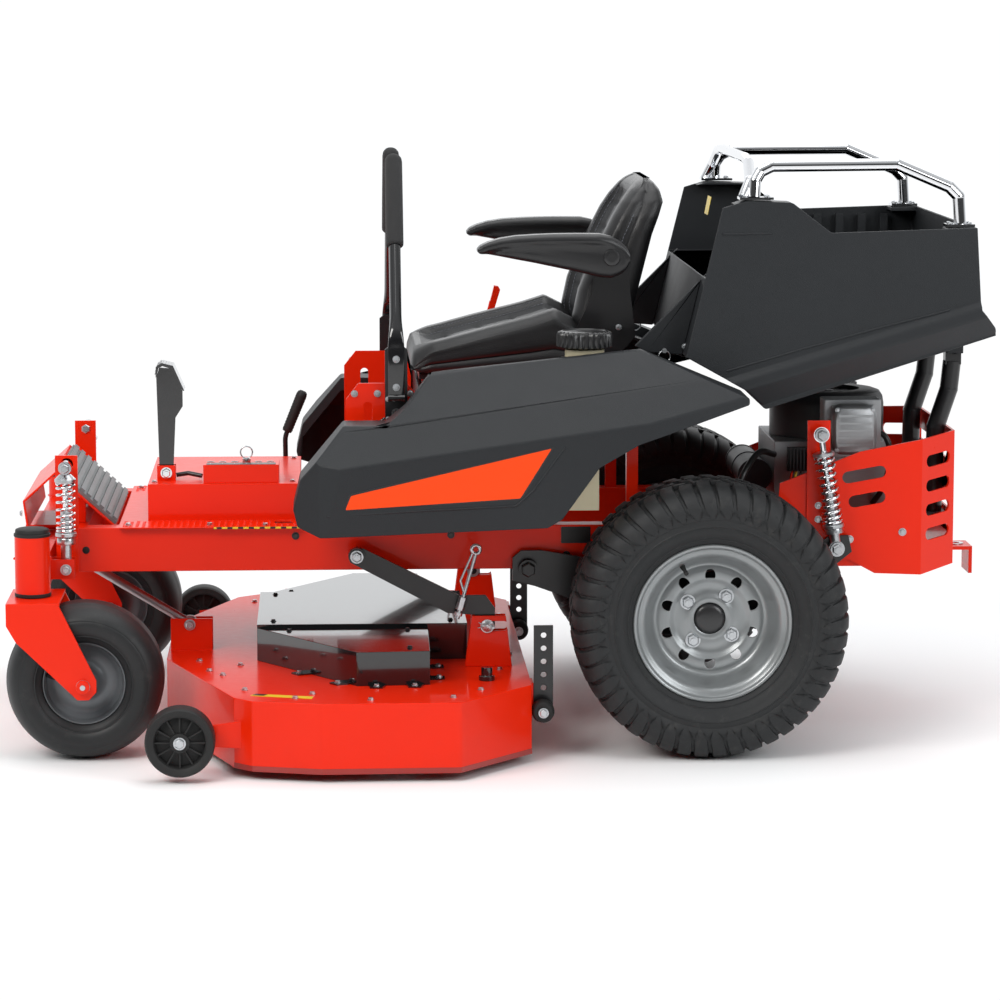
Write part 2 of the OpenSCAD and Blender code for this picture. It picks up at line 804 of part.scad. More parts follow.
// Bracket on the floor that the pedal turns on
module pedal_bracket() {
    color(BLACK) {
        for (y = [pedal_y - 16, pedal_y + 10]) block([-757, y, 543], [-717, y + 6, 576]);
        pin_y(pedal_pivot, 7, pedal_y - 16, pedal_y + 16);
    }
}

module antiscalp_wheels() {
    r = 72;
    color(BLACK) both() difference() {
        wheel([[8 + FIT, -26], [20, -26], [24, -12], [50, -8], [54, -26], [r - 4, -30], [r, -24],
               [r, 24], [r - 4, 30], [54, 26], [50, 8], [24, 12], [20, 26], [8 + FIT, 26]],
              [scalp[0], 770, scalp[1]]);
        for (a = [0:60:359]) translate([scalp[0], 0, scalp[1]]) rotate([0, a, 0])
            pin_y([37, 0], 6, 755, 785);
    }
}

module rear_rollers() {
    color(BLACK) for (y = [-566, 420])
        wheel([[6 + FIT, -22], [20, -22], [24, -18], [24, 18], [20, 22], [6 + FIT, 22]],
              [roller[0], y - 26, roller[1]]);
}

chute_hinge = [deck_right + 10, 150];

module discharge_chute() {
    t = 4;
    x0 = -490;
    x1 = -170;
    color([0.45, 0.05, 0.03]) {
        difference() {
            union() {
                pin_x(chute_hinge, 9, x0, x1);
                rotate([90, 0, 90]) translate([0, 0, x0]) linear_extrude(x1 - x0)
                    polygon([[deck_right + 14, 142], [deck_right + 14, 155], [half_w - 60, 152],
                             [half_w - 12, 118], [half_w, 70], [half_w - t, 70], [half_w - 16, 115],
                             [half_w - 62, 148]]);
            }
            pin_x(chute_hinge, 5 + FIT, x0 - 1, x1 + 1);
        }
        for (x = [x0, x1 - t])
            rotate([90, 0, 90]) translate([0, 0, x]) linear_extrude(t)
                polygon([[deck_right + 22, 148], [half_w - 62, 148], [half_w - 16, 115],
                         [half_w - t, 70], [deck_right + 22, 100]]);
    }
}

// ---------- controls ----------

module lever_pivot(s) {
    side(s) color(BLACK) difference() {
        union() {
            plate([[lever_x - 24, 702], [lever_x - 24, 848], [lever_x - 14, 856], [lever_x + 14, 856],
                   [lever_x + 24, 848], [lever_x + 24, 702], [lever_x + 12, 688],
                   [lever_x - 12, 688]], 372, 379);
            pin_y([lever_x, lever_z], 20, 362, 379);
        }
        pin_y([lever_x, lever_z], 9 + FIT, 361, 380);
    }
}

module control_lever(s) {
    foot_y = 387;
    top = [lever_x, 150, 1246];
    base = [lever_x, foot_y - 4, 868];
    lean = (top - base) / norm(top - base);
    grip_from = base + lean * 225;
    side(s) {
        color(BLACK) {
            // flattened end, turning on a pin along X
            block([lever_x - 18, foot_y - 7, swing_out_z], [lever_x + 18, foot_y - 1, 870]);
            difference() {
                pin_x([foot_y, swing_out_z], 7.5, lever_x - 18, lever_x + 18);
                pin_x([foot_y, swing_out_z], 3, lever_x - 19, lever_x + 19);
            }
            bar(base - lean * 4, top - lean * 12, 12.7);
        }
        color([0.1, 0.1, 0.1]) {
            bar(grip_from, top - lean * 14, 19);
            translate(top - lean * 14) sphere(r = 19.2);
        }
    }
}

module hand_lever() {
    y = 265;
    color(BLACK) {
        pin_y([-481, 495], 12, y - 8, y + 8);
        bent_bar([[-481, y, 500], [-482, y, 585], [-440, y, 688]], 6);
        bar([-479, y, 594], [-439, y, 692], 13);
    }
}

module red_lever() {
    y = 392;
    color(RED) {
        bar([-12, y, 838], [0, y, 885], 5);
        plate([[-8, 868], [6, 922], [16, 920], [20, 912], [6, 866]], y - 9, y + 9);
        pin_y([-14, 834], 10, y - 9, y + 9);
    }
}

module fuel_cap() {
    r = 60;
    ribs = 12;
    color(BLACK) difference() {
        union() {
            pin_z(neck, r - 3, 852, 888);
            for (i = [0:ribs - 1]) translate([neck[0], neck[1], 856]) rotate(360 / ribs * i)
                translate([r - 8, 0, 0]) cylinder(h = 28, r = 8);
        }
        pin_z(neck, 42 + EPS, 851, 862);
    }
}

// ---------- seat ----------

module seat_cushion() {
    color(BLACK) {
        plate([[-192, 776], [-207, 800], [-196, 834], [-60, 874], [60, 905], [135, 930], [150, 900],
               [150, 862], [225, 822], [225, 776]], -seat_half_w, seat_half_w);
        both() block([-130, 152, 765 + EPS], [200, 183, 776]);
    }
}

module seat_back() {
    color(BLACK) {
        intersection() {
            plate([[151, 866], [160, 960], [215, 1080], [252, 1150], [299, 1200], [335, 1190],
                   [359, 1152], [330, 1079], [268, 840], [226, 824]], -seat_half_w, seat_half_w);
            rotate([90, 0, 90]) linear_extrude(400)
                polygon([[-230, 800], [-230, 1090], [-190, 1185], [-150, 1210], [150, 1210],
                         [190, 1185], [230, 1090], [230, 800]]);
        }
        both() {
            pin_y(arm_rest_pivot, 10, seat_half_w, 320);
            pin_y(arm_rest_pivot, 22, seat_half_w, 262);
        }
    }
}

module armrest(s) {
    side(s) color(BLACK) difference() {
        union() {
            plate([[-64, 1050], [-58, 1068], [-20, 1082], [52, 1090], [205, 1089], [238, 1078],
                   [262, 1056], [268, 1030], [255, 1004], [232, 990], [205, 992], [73, 1022],
                   [-40, 1044]], 276, 316);
            plate([[-64, 1050], [-58, 1068], [-20, 1082], [52, 1090], [190, 1090], [190, 1066],
                   [60, 1066], [-30, 1050]], 268, 324);
        }
        pin_y(arm_rest_pivot, 10 + FIT, 260, 330);
    }
}

// ---------- cargo bed ----------

// Side outline of the bed
bed_line = [[456, 1166], [380, 853], [375, 834], [429, 804], [499, 765], [549, 718], [1042, 874],
            [1040, 890], [1004, 932], [994, 1106], [683, 1096], [600, 1160]];
bed_slope = 0.30;

// Front view of the right half, as [y, height above the sloping bottom line]
bed_front_view = [[0, -60], [404, -60], [404, 12], [bed_half_w, 62], [bed_half_w, 84],
                  [bed_half_w - 12, 96], [bed_half_w - 26, 460], [0, 460]];

// Bed form, shrunk by d from every face
module bed_form(d) {
    intersection() {
        translate([0, bed_half_w + 2 - d, 0]) rotate([90, 0, 0])
            linear_extrude(2 * (bed_half_w + 2 - d)) offset(delta = -d) polygon(bed_line);
        // the front view follows the slope of the bottom line
        multmatrix([[1, 0, 0, 0], [0, 1, 0, 0], [bed_slope, 0, 1, 718 - bed_slope * 549]])
            rotate([90, 0, 90]) translate([0, 0, 300]) linear_extrude(800)
                offset(delta = -d) polygon(concat(bed_front_view,
                    [for (i = [len(bed_front_view) - 2:-1:1])
                        [-bed_front_view[i][0], bed_front_view[i][1]]]));
    }
}

module cargo_bed() {
    color(CHARCOAL) {
        difference() {
            bed_form(0);
            difference() {
                union() {
                    bed_form(bed_wall);
                    // open top
                    intersection() {
                        translate([0, 0, 40]) bed_form(bed_wall);
                        block([380, -500, 1000], [1100, 500, 1300]);
                    }
                }
                // solid rims under the rail feet, and the toe ahead of the load floor
                both() {
                    block([440, bed_half_w - 92, 1156], [620, bed_half_w, 1300]);
                    block([930, bed_half_w - 92, 1094], [1010, bed_half_w, 1300]);
                }
            }
        }
        // legs that stand on the consoles in front of the bed
        both() plate([[432, 1011], [272, 851], [300, 838], [374, 832], [384, 870], [413, 990]],
                     345, 360);
        // lugs around the hinge eyes, and the hinge pins
        both() {
            for (y = [140, 181]) plate([[bed_hinge[0] - 18, 858], [bed_hinge[0] - 18, 815],
                                        [bed_hinge[0] + 18, 815], [bed_hinge[0] + 18, 869]], y, y + 9);
            pin_y(bed_hinge, 8, 140, 190);
        }
    }
}

module bed_rails() {
    r = 13;
    y = 388;
    color([0.85, 0.86, 0.88]) {
        both() {
            bent_bar([[521, y + 12, 1166 + 5], [523, y + 8, 1205], [535, y, 1224], [560, y, 1236],
                      [827, y - 5, 1238], [940, y - 5, 1190], [960, y - 5, 1170],
                      [964, y - 5, 1112]], r);
            block([488, y - 15, 1166], [560, y + 35, 1171]);
            block([932, y - 30, 1106.5], [992, y + 20, 1112]);
        }
        // hoop across the front
        bent_bar([[498, -395, 1170], [514, -378, 1205], [519, -300, 1240], [520, -240, 1246],
                  [520, 240, 1246], [519, 300, 1240], [514, 378, 1205], [498, 395, 1170]], 11);
    }
}

// ---------- nodes ----------

frame_rails();
cross_members();
floor_pan();
footrest_guard();
footrest_pad();
engine_guard();
bed_frame_tubes();
fenders();
fuel_tank();
engine_block();
engine_fittings();
union() {
    height_stop_box();
    pedal_bracket();
}
seat_rails();
front_shock_rods();
front_arm(-1);  // front_arm_left
front_arm(1);  // front_arm_right
front_shock_body(-1);  // front_shock_body_left
front_shock_body(1);  // front_shock_body_right
front_spring(-1);  // front_spring_left
front_spring(1);  // front_spring_right
caster_fork(-1);  // caster_fork_left
caster_fork(1);  // caster_fork_right
caster_rim(-1);  // caster_rim_left
caster_rim(1);  // caster_rim_right
caster_tyre(-1);  // caster_tyre_left
caster_tyre(1);  // caster_tyre_right
rear_swing_frame();
transaxles();
rear_rim(-1);  // rear_rim_left
rear_rim(1);  // rear_rim_right
rear_tyre(-1);  // rear_tyre_left
rear_tyre(1);  // rear_tyre_right
rear_shock_rods();
rear_springs();
rear_shock_bodies();
deck_shell();
deck_covers();
deck_lift_arms();
deck_pedal();
antiscalp_wheels();
rear_rollers();
discharge_chute();
blade(0);  // blade_left
blade(1);  // blade_centre
blade(2);  // blade_right
lever_pivot(-1);  // lever_pivot_left
lever_pivot(1);  // lever_pivot_right
control_lever(-1);  // control_lever_left
control_lever(1);  // control_lever_right
hand_lever();
red_lever();
fuel_cap();
height_pin();
seat_cushion();
seat_back();
armrest(-1);  // armrest_left
armrest(1);  // armrest_right
cargo_bed();
bed_rails();
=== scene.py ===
"""Looks of a zero turn mower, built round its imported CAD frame.

Metres throughout, in the CAD frame: X from the casters to the hitch, Y from the left side to the
right, Z up from the ground."""
import json
import math
import random

import bmesh
import bpy
from mathutils import Matrix, Vector

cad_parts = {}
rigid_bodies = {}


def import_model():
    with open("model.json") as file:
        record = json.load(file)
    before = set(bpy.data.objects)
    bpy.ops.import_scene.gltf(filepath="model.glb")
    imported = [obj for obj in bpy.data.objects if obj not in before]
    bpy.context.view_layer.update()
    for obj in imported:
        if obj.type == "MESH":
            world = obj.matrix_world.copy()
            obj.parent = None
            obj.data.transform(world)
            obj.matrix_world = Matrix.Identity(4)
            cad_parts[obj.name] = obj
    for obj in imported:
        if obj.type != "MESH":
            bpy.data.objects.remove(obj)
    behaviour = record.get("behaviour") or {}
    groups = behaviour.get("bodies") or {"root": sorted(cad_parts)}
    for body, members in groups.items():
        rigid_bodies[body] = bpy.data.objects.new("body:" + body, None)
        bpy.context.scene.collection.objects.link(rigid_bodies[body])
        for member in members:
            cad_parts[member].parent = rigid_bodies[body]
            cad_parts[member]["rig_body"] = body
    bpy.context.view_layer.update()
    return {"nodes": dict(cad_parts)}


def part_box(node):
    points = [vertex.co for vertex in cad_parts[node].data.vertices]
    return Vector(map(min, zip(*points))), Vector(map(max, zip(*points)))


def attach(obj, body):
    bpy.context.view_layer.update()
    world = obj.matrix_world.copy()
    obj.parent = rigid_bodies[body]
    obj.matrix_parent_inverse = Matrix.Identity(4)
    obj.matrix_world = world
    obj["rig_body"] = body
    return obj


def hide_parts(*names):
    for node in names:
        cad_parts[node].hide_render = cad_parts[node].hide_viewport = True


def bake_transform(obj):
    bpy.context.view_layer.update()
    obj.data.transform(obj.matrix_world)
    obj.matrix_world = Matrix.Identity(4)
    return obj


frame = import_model()
nodes = frame["nodes"]
SIDES = (("left", -1, "l"), ("right", 1, "r"))


# ---------------------------------------------------------------- materials

def new_material(name):
    made = bpy.data.materials.new(name)
    made.use_nodes = True
    tree = made.node_tree
    return made, tree, tree.nodes["Principled BSDF"]


def add(tree, kind, inputs=None, **settings):
    node = tree.nodes.new(kind)
    for key, value in settings.items():
        setattr(node, key, value)
    for key, value in (inputs or {}).items():
        node.inputs[key].default_value = value
    return node


def shade(colour, factor):
    return tuple(min(1.0, c * factor) for c in colour[:3]) + (1.0,)


def material(name, colour, rough, metal=0.0, vary=0.06, vary_size=9.0, rough_vary=0.05,
             bump=0.0, bump_size=400.0, bump_kind="noise", bump_depth=0.0004, coat=0.0,
             coat_rough=0.05, sheen=0.0, transmission=0.0, spec=0.5, grime=0.0):
    """A finish with drifting colour, uneven gloss and its own surface grain."""
    made, tree, shader = new_material(name)
    link = tree.links.new
    place = add(tree, "ShaderNodeTexCoord").outputs["Object"]
    drift = add(tree, "ShaderNodeTexNoise", {"Scale": vary_size, "Detail": 5.0, "Roughness": 0.6})
    link(place, drift.inputs["Vector"])
    tone = add(tree, "ShaderNodeMix", data_type="RGBA")
    tone.inputs["A"].default_value = shade(colour, 1 - vary)
    tone.inputs["B"].default_value = shade(colour, 1 + vary)
    link(drift.outputs["Fac"], tone.inputs["Factor"])
    base = tone.outputs["Result"]
    if grime:
        spots = add(tree, "ShaderNodeTexNoise", {"Scale": 34.0, "Detail": 8.0, "Roughness": 0.7})
        link(place, spots.inputs["Vector"])
        mask = add(tree, "ShaderNodeMapRange", {"From Min": 0.56, "From Max": 0.74, "To Max": grime})
        link(spots.outputs["Fac"], mask.inputs["Value"])
        dusty = add(tree, "ShaderNodeMix", data_type="RGBA")
        dusty.inputs["B"].default_value = (0.20, 0.19, 0.17, 1)
        link(base, dusty.inputs["A"])
        link(mask.outputs["Result"], dusty.inputs["Factor"])
        base = dusty.outputs["Result"]
    link(base, shader.inputs["Base Color"])
    if rough_vary:
        gloss = add(tree, "ShaderNodeTexNoise", {"Scale": vary_size * 6, "Detail": 4.0})
        link(place, gloss.inputs["Vector"])
        span = add(tree, "ShaderNodeMapRange", {
            "To Min": max(0.02, rough - rough_vary), "To Max": min(1.0, rough + rough_vary)})
        link(gloss.outputs["Fac"], span.inputs["Value"])
        link(span.outputs["Result"], shader.inputs["Roughness"])
    else:
        shader.inputs["Roughness"].default_value = rough
    if bump:
        if bump_kind == "cells":
            grain = add(tree, "ShaderNodeTexVoronoi", {"Scale": bump_size}, feature="SMOOTH_F1")
            height = grain.outputs["Distance"]
        else:
            grain = add(tree, "ShaderNodeTexNoise", {"Scale": bump_size, "Detail": 3.0})
            height = grain.outputs["Fac"]
        link(place, grain.inputs["Vector"])
        relief = add(tree, "ShaderNodeBump", {"Strength": bump, "Distance": bump_depth})
        link(height, relief.inputs["Height"])
        link(relief.outputs["Normal"], shader.inputs["Normal"])
    shader.inputs["Metallic"].default_value = metal
    shader.inputs["Specular IOR Level"].default_value = spec
    shader.inputs["Coat Weight"].default_value = coat
    shader.inputs["Coat Roughness"].default_value = coat_rough
    shader.inputs["Sheen Weight"].default_value = sheen
    shader.inputs["Transmission Weight"].default_value = transmission
    return made


RED = (0.80, 0.020, 0.002)
M = {
    "red": material("red_powder_coat", RED, 0.30, vary=0.04, bump=0.12, bump_size=260,
                    bump_depth=0.0003, coat=0.16, coat_rough=0.05, spec=0.14),
    # painted shade: a darker red that stands for the orange-red paint lying in shadow, used on the discharge
    # chute and the strip low on the deck's left edge
    "dark_red": material("dark_red_paint", (0.30, 0.012, 0.006), 0.32, bump=0.12, bump_size=240,
                         coat=0.3, coat_rough=0.12),
    "black": material("black_powder_coat", (0.007, 0.007, 0.008), 0.34, vary=0.15, bump=0.25,
                      bump_size=650, bump_depth=0.0003, coat=0.25, coat_rough=0.15),
    "gloss_black": material("gloss_black", (0.008, 0.008, 0.009), 0.12, vary=0.1, coat=0.8,
                            coat_rough=0.04, bump=0.05, bump_size=90),
    "charcoal": material("charcoal_moulding", (0.0135, 0.0155, 0.0180), 0.50, vary=0.12,
                         vary_size=3.0, bump=0.55, bump_size=900, bump_kind="cells",
                         bump_depth=0.0005, spec=0.36),
    "tyre": material("tyre_rubber", (0.014, 0.015, 0.016), 0.62, vary=0.22, vary_size=14,
                     bump=0.35, bump_size=320, bump_depth=0.0005, grime=0.10, spec=0.4),
    "smooth_tyre": material("caster_rubber", (0.013, 0.014, 0.015), 0.50, vary=0.2, vary_size=10,
                            bump=0.2, bump_size=420, bump_depth=0.0004, grime=0.08, spec=0.4),
    "foam": material("grip_foam", (0.017, 0.017, 0.018), 0.85, vary=0.2, bump=0.8,
                     bump_size=1200, bump_kind="cells", bump_depth=0.0006, sheen=0.1),
    "rubber": material("black_rubber", (0.015, 0.015, 0.015), 0.6, vary=0.2, bump=0.3,
                       bump_size=500, spec=0.35),
    "pad": material("grey_rubber_mat", (0.17, 0.18, 0.185), 0.55, vary=0.12, bump=0.4,
                    bump_size=420, grime=0.25),
    "silver_rim": material("silver_rim_paint", (0.27, 0.285, 0.29), 0.34, metal=0.55, vary=0.06,
                           bump=0.1, bump_size=350, coat=0.25, coat_rough=0.12),
    "grey_rim": material("grey_rim_paint", (0.14, 0.15, 0.16), 0.38, metal=0.4, vary=0.08,
                         bump=0.12, bump_size=350),
    "zinc": material("zinc_plate", (0.56, 0.58, 0.60), 0.30, metal=1.0, vary=0.12, vary_size=30,
                     rough_vary=0.10, bump=0.08, bump_size=500),
    "chrome": material("chrome_plate", (0.80, 0.81, 0.83), 0.06, metal=1.0, vary=0.03,
                       rough_vary=0.03, bump=0.02, bump_size=60),
    "steel": material("worn_steel", (0.42, 0.42, 0.43), 0.36, metal=1.0, vary=0.18, vary_size=22,
                      rough_vary=0.12, bump=0.15, bump_size=300, grime=0.2),
    "cast": material("cast_alloy", (0.40, 0.41, 0.42), 0.42, metal=0.85, vary=0.14, bump=0.5,
                     bump_size=520, bump_depth=0.0006, grime=0.2),
    "case": material("cast_case", (0.035, 0.036, 0.038), 0.5, metal=0.3, vary=0.2, bump=0.5,
                     bump_size=480, bump_depth=0.0006, grime=0.25),
    "engine_black": material("engine_black", (0.018, 0.018, 0.020), 0.42, vary=0.15, bump=0.3,
                             bump_size=500),
    "tank": material("tank_plastic", (0.62, 0.56, 0.38), 0.38, vary=0.07, bump=0.12,
                     bump_size=240, transmission=0.12),
    "cap": material("cap_plastic", (0.016, 0.016, 0.017), 0.30, vary=0.15, bump=0.2,
                    bump_size=600, coat=0.2, coat_rough=0.15),
    "vinyl": material("seat_vinyl", (0.010, 0.010, 0.011), 0.38, vary=0.12, vary_size=7,
                      bump=0.5, bump_size=620, bump_kind="cells", bump_depth=0.0006, spec=0.5),
    "vinyl_panel": material("seat_vinyl_panel", (0.020, 0.021, 0.023), 0.50, vary=0.12,
                            bump=0.7, bump_size=900, bump_kind="cells", bump_depth=0.0007),
    "arm": material("armrest_skin", (0.010, 0.010, 0.011), 0.36, vary=0.12, bump=0.35,
                    bump_size=700, bump_kind="cells", coat=0.15, coat_rough=0.2),
    "thread": material("seam_thread", (0.16, 0.17, 0.20), 0.7, vary=0.2, bump=0.4,
                       bump_size=2500),
    "decal_orange": material("decal_orange", (0.88, 0.062, 0.003), 0.36, vary=0.04, spec=0.2, coat=0.05,
                             coat_rough=0.08, bump=0.03, bump_size=60),
    "decal_yellow": material("decal_yellow", (0.80, 0.58, 0.03), 0.35, vary=0.05, bump=0.05),
    "decal_dark": material("decal_dark", (0.012, 0.012, 0.012), 0.3, vary=0.05, bump=0.05),
    "decal_silver": material("decal_silver", (0.42, 0.43, 0.44), 0.35, metal=0.3, bump=0.05),
    "yellow": material("yellow_plastic", (0.75, 0.52, 0.02), 0.4, vary=0.08, bump=0.15),
    "wire": material("wire_skin", (0.012, 0.012, 0.012), 0.4, vary=0.1, bump=0.2, bump_size=900),
}


# ---------------------------------------------------------------- mesh helpers

def link_mesh(name, mesh, body, finish):
    piece = bpy.data.objects.new(name, mesh)
    bpy.context.scene.collection.objects.link(piece)
    for one in finish if isinstance(finish, (list, tuple)) else (finish,):
        mesh.materials.append(M[one])
    if body:
        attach(piece, body)
    return piece


def turns(count):
    """Angles that go once round in equal steps."""
    return [2 * math.pi * k / count for k in range(count)]


def squarish(a, power):
    """Point at angle a on a circle that is pressed towards a square."""
    ca, sa = math.cos(a), math.sin(a)
    return math.copysign(abs(ca) ** power, ca), math.copysign(abs(sa) ** power, sa)


def smooth(mesh, angle=40):
    mesh.shade_smooth()
    mesh.set_sharp_from_angle(angle=math.radians(angle))


def piece_from(name, bm, body, finish, angle=40):
    mesh = bpy.data.meshes.new(name)
    bmesh.ops.recalc_face_normals(bm, faces=bm.faces)
    bm.to_mesh(mesh)
    bm.free()
    smooth(mesh, angle)
    return link_mesh(name, mesh, body, finish)


def applied(piece):
    """Turns a piece's modifiers into its mesh."""
    bpy.context.view_layer.update()
    graph = bpy.context.evaluated_depsgraph_get()
    mesh = bpy.data.meshes.new_from_object(piece.evaluated_get(graph), depsgraph=graph)
    piece.modifiers.clear()
    piece.data = mesh
    return piece


def cad_mesh(name, mark=None):
    """A CAD node's mesh without its triangulation; mark may weight its edges first."""
    bm = bmesh.new()
    bm.from_mesh(nodes[name].data)
    bmesh.ops.remove_doubles(bm, verts=bm.verts, dist=1e-6)
    bmesh.ops.dissolve_limit(bm, angle_limit=math.radians(0.6), verts=bm.verts, edges=bm.edges)
    if mark:
        mark(bm)
    mesh = bpy.data.meshes.new(name + "_skin")
    bm.to_mesh(mesh)
    bm.free()
    for extra in ("custom_normal", "sharp_edge", "sharp_face"):
        if extra in mesh.attributes:
            mesh.attributes.remove(mesh.attributes[extra])
    mesh.materials.clear()
    mesh.shade_smooth()
    return mesh


def stands_for(piece, name):
    """Applies the piece's modifiers, and lets it ride and show instead of a CAD node."""
    piece.modifiers.new("even", "WEIGHTED_NORMAL").keep_sharp = True
    applied(piece)
    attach(piece, nodes[name]["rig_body"])
    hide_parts(name)
    return piece


def softened(name, width, finish):
    """A copy of a CAD node with its sharp edges rounded."""
    piece = link_mesh(name + "_skin", cad_mesh(name), None, finish)
    bevel = piece.modifiers.new("round", "BEVEL")
    bevel.width, bevel.segments, bevel.limit_method = width, 2, "ANGLE"
    bevel.angle_limit = math.radians(28)
    bevel.use_clamp_overlap = True
    bevel.miter_outer = "MITER_ARC"
    return stands_for(piece, name)


def creased(name, crease, rim, finish):
    """A copy of a CAD node whose shallow folds are wide and soft and whose rims are tight."""
    def mark(bm):
        weight = bm.edges.layers.float.new("bevel_weight_edge")
        for edge in bm.edges:
            if len(edge.link_faces) != 2:
                continue
            turn = edge.calc_face_angle_signed(0.0)
            if math.radians(5) <= turn < math.radians(74) and edge.calc_length() > 0.02:
                edge[weight] = 1.0
            elif abs(turn) > math.radians(30):
                edge[weight] = rim / crease
    piece = link_mesh(name + "_skin", cad_mesh(name, mark), None, finish)
    bevel = piece.modifiers.new("round", "BEVEL")
    bevel.width, bevel.segments, bevel.limit_method = crease, 4, "WEIGHT"
    bevel.use_clamp_overlap = False
    return stands_for(piece, name)


def basis(direction):
    """Rotation that takes Z to a direction."""
    return Vector(direction).to_track_quat("Z", "Y").to_matrix().to_4x4()


def add_cylinder(bm, start, end, r, sides=24, r_end=None):
    start, end = Vector(start), Vector(end)
    span = end - start
    place = Matrix.Translation((start + end) / 2) @ basis(span)
    return bmesh.ops.create_cone(bm, cap_ends=True, segments=sides, radius1=r,
                                 radius2=r if r_end is None else r_end, depth=span.length,
                                 matrix=place)["verts"]


def add_box(bm, low, high):
    low, high = Vector(low), Vector(high)
    place = Matrix.Translation((low + high) / 2) @ Matrix.Diagonal((high - low).to_4d())
    return bmesh.ops.create_cube(bm, size=1.0, matrix=place)["verts"]


def add_rings(bm, rings, ends=(True, True)):
    """Skin over rings of points that all have the same count, closed at the ends asked for."""
    rings = [[bm.verts.new(p) for p in ring] for ring in rings]
    count = len(rings[0])
    for near, far in zip(rings, rings[1:]):
        for k in range(count):
            j = (k + 1) % count
            bm.faces.new((near[k], near[j], far[j], far[k]))
    if ends[0]:
        bm.faces.new(list(reversed(rings[0])))
    if ends[1]:
        bm.faces.new(rings[-1])


def add_prism(bm, ring, rise):
    """Flat plate over a ring of points, thickened by the vector rise."""
    add_rings(bm, [ring, [p + rise for p in ring]])


def add_lathe(bm, profile, centre, axis, steps=64):
    """Surface of revolution: profile of (radius, distance along the axis)."""
    place = Matrix.Translation(Vector(centre)) @ basis(axis)
    rings = []
    for a in turns(steps):
        rings.append([bm.verts.new(place @ Vector((r * math.cos(a), r * math.sin(a), h)))
                      for r, h in profile])
    for k in range(steps):
        near, far = rings[k], rings[(k + 1) % steps]
        for i in range(len(profile) - 1):
            if profile[i][0] < 1e-7 and profile[i + 1][0] < 1e-7:
                continue
            bm.faces.new((near[i], far[i], far[i + 1], near[i + 1]))
    bmesh.ops.remove_doubles(bm, verts=bm.verts, dist=1e-7)


def bezier_path(points, per_span=6):
    """Smooth curve through points (Catmull-Rom)."""
    pts = [Vector(p) for p in points]
    out = []
    for i in range(len(pts) - 1):
        p0 = pts[i - 1] if i else pts[0] * 2 - pts[1]
        p1, p2 = pts[i], pts[i + 1]
        p3 = pts[i + 2] if i + 2 < len(pts) else pts[-1] * 2 - pts[-2]
        for s in range(per_span):
            t = s / per_span
            out.append(0.5 * ((2 * p1) + (p2 - p0) * t + (2 * p0 - 5 * p1 + 4 * p2 - p3) * t * t
                              + (3 * p1 - p0 - 3 * p2 + p3) * t ** 3))
    out.append(pts[-1])
    return out


def filleted(points, radius, steps=6):
    """A broken line with its corners rounded."""
    pts = [Vector(p) for p in points]
    out = [pts[0]]
    for before, corner, after in zip(pts, pts[1:], pts[2:]):
        a, b = (before - corner), (after - corner)
        turn = math.pi - a.angle(b)
        reach = min(radius * math.tan(turn / 2), a.length * 0.45, b.length * 0.45)
        p, q = corner + a.normalized() * reach, corner + b.normalized() * reach
        for s in range(steps + 1):
            t = s / steps
            out.append(p * (1 - t) ** 2 + corner * 2 * t * (1 - t) + q * t * t)
    out.append(pts[-1])
    return out


def add_tube(bm, path, r, sides=12, closed=False):
    """Round tube along a path, with caps. r is a number or a function of the place, 0 to 1."""
    path = [Vector(p) for p in path]
    count = len(path)
    radius = r if callable(r) else (lambda t: r)
    tangents = []
    for i in range(count):
        if closed:
            tangents.append((path[(i + 1) % count] - path[i - 1]).normalized())
        else:
            tangents.append((path[min(i + 1, count - 1)] - path[max(i - 1, 0)]).normalized())
    normal = tangents[0].orthogonal().normalized()
    rings = []
    for i, (point, tangent) in enumerate(zip(path, tangents)):
        normal = (normal - tangent * normal.dot(tangent)).normalized()
        side = tangent.cross(normal)
        size = radius(i / max(1, count - 1))
        rings.append([point + (normal * math.cos(a) + side * math.sin(a)) * size
                      for a in turns(sides)])
    if closed:
        rings.append(rings[0])
    add_rings(bm, rings, (not closed, not closed))
    if closed:
        bmesh.ops.remove_doubles(bm, verts=bm.verts, dist=1e-7)


def add_loop(bm, centre, r, wire, count=28, sides=10):
    """Ring of wire that stands in the XZ plane."""
    add_tube(bm, [Vector(centre) + Vector((r * math.cos(a), 0, r * math.sin(a))) for a in turns(count)],
             wire, sides, closed=True)


def add_bolt(bm, at, axis, size, stud=0.0):
    """Hex head on a washer, standing on a surface whose normal is the axis."""
    at, axis = Vector(at), Vector(axis).normalized()
    up = size * 0.16
    add_cylinder(bm, at, at + axis * up, size * 1.08, 28)
    head = size * 0.62
    add_cylinder(bm, at + axis * up, at + axis * (up + head * 0.78), size * 0.86, 6)
    add_cylinder(bm, at + axis * (up + head * 0.78), at + axis * (up + head), size * 0.86, 6,
                 r_end=size * 0.70)
    if stud:
        add_cylinder(bm, at + axis * up, at + axis * (up + head + stud), size * 0.42, 16)


def bolts(name, body, places, finish="zinc"):
    """One piece that holds several bolts: (position, normal, size[, stud])."""
    bm = bmesh.new()
    for place in places:
        at, axis, size = place[:3]
        add_bolt(bm, at, axis, size, stud=place[3] if len(place) > 3 else 0.0)
    return piece_from(name, bm, body, finish, angle=30)


def add_sheet(bm, outline, depth, place):
    """Flat plate: outline of (x, y), thickened by depth, put in place by a matrix."""
    add_prism(bm, [place @ Vector((x, y, 0)) for x, y in outline],
              place.to_3x3() @ Vector((0, 0, depth)))


# ---------------------------------------------------------------- camera, light and floor

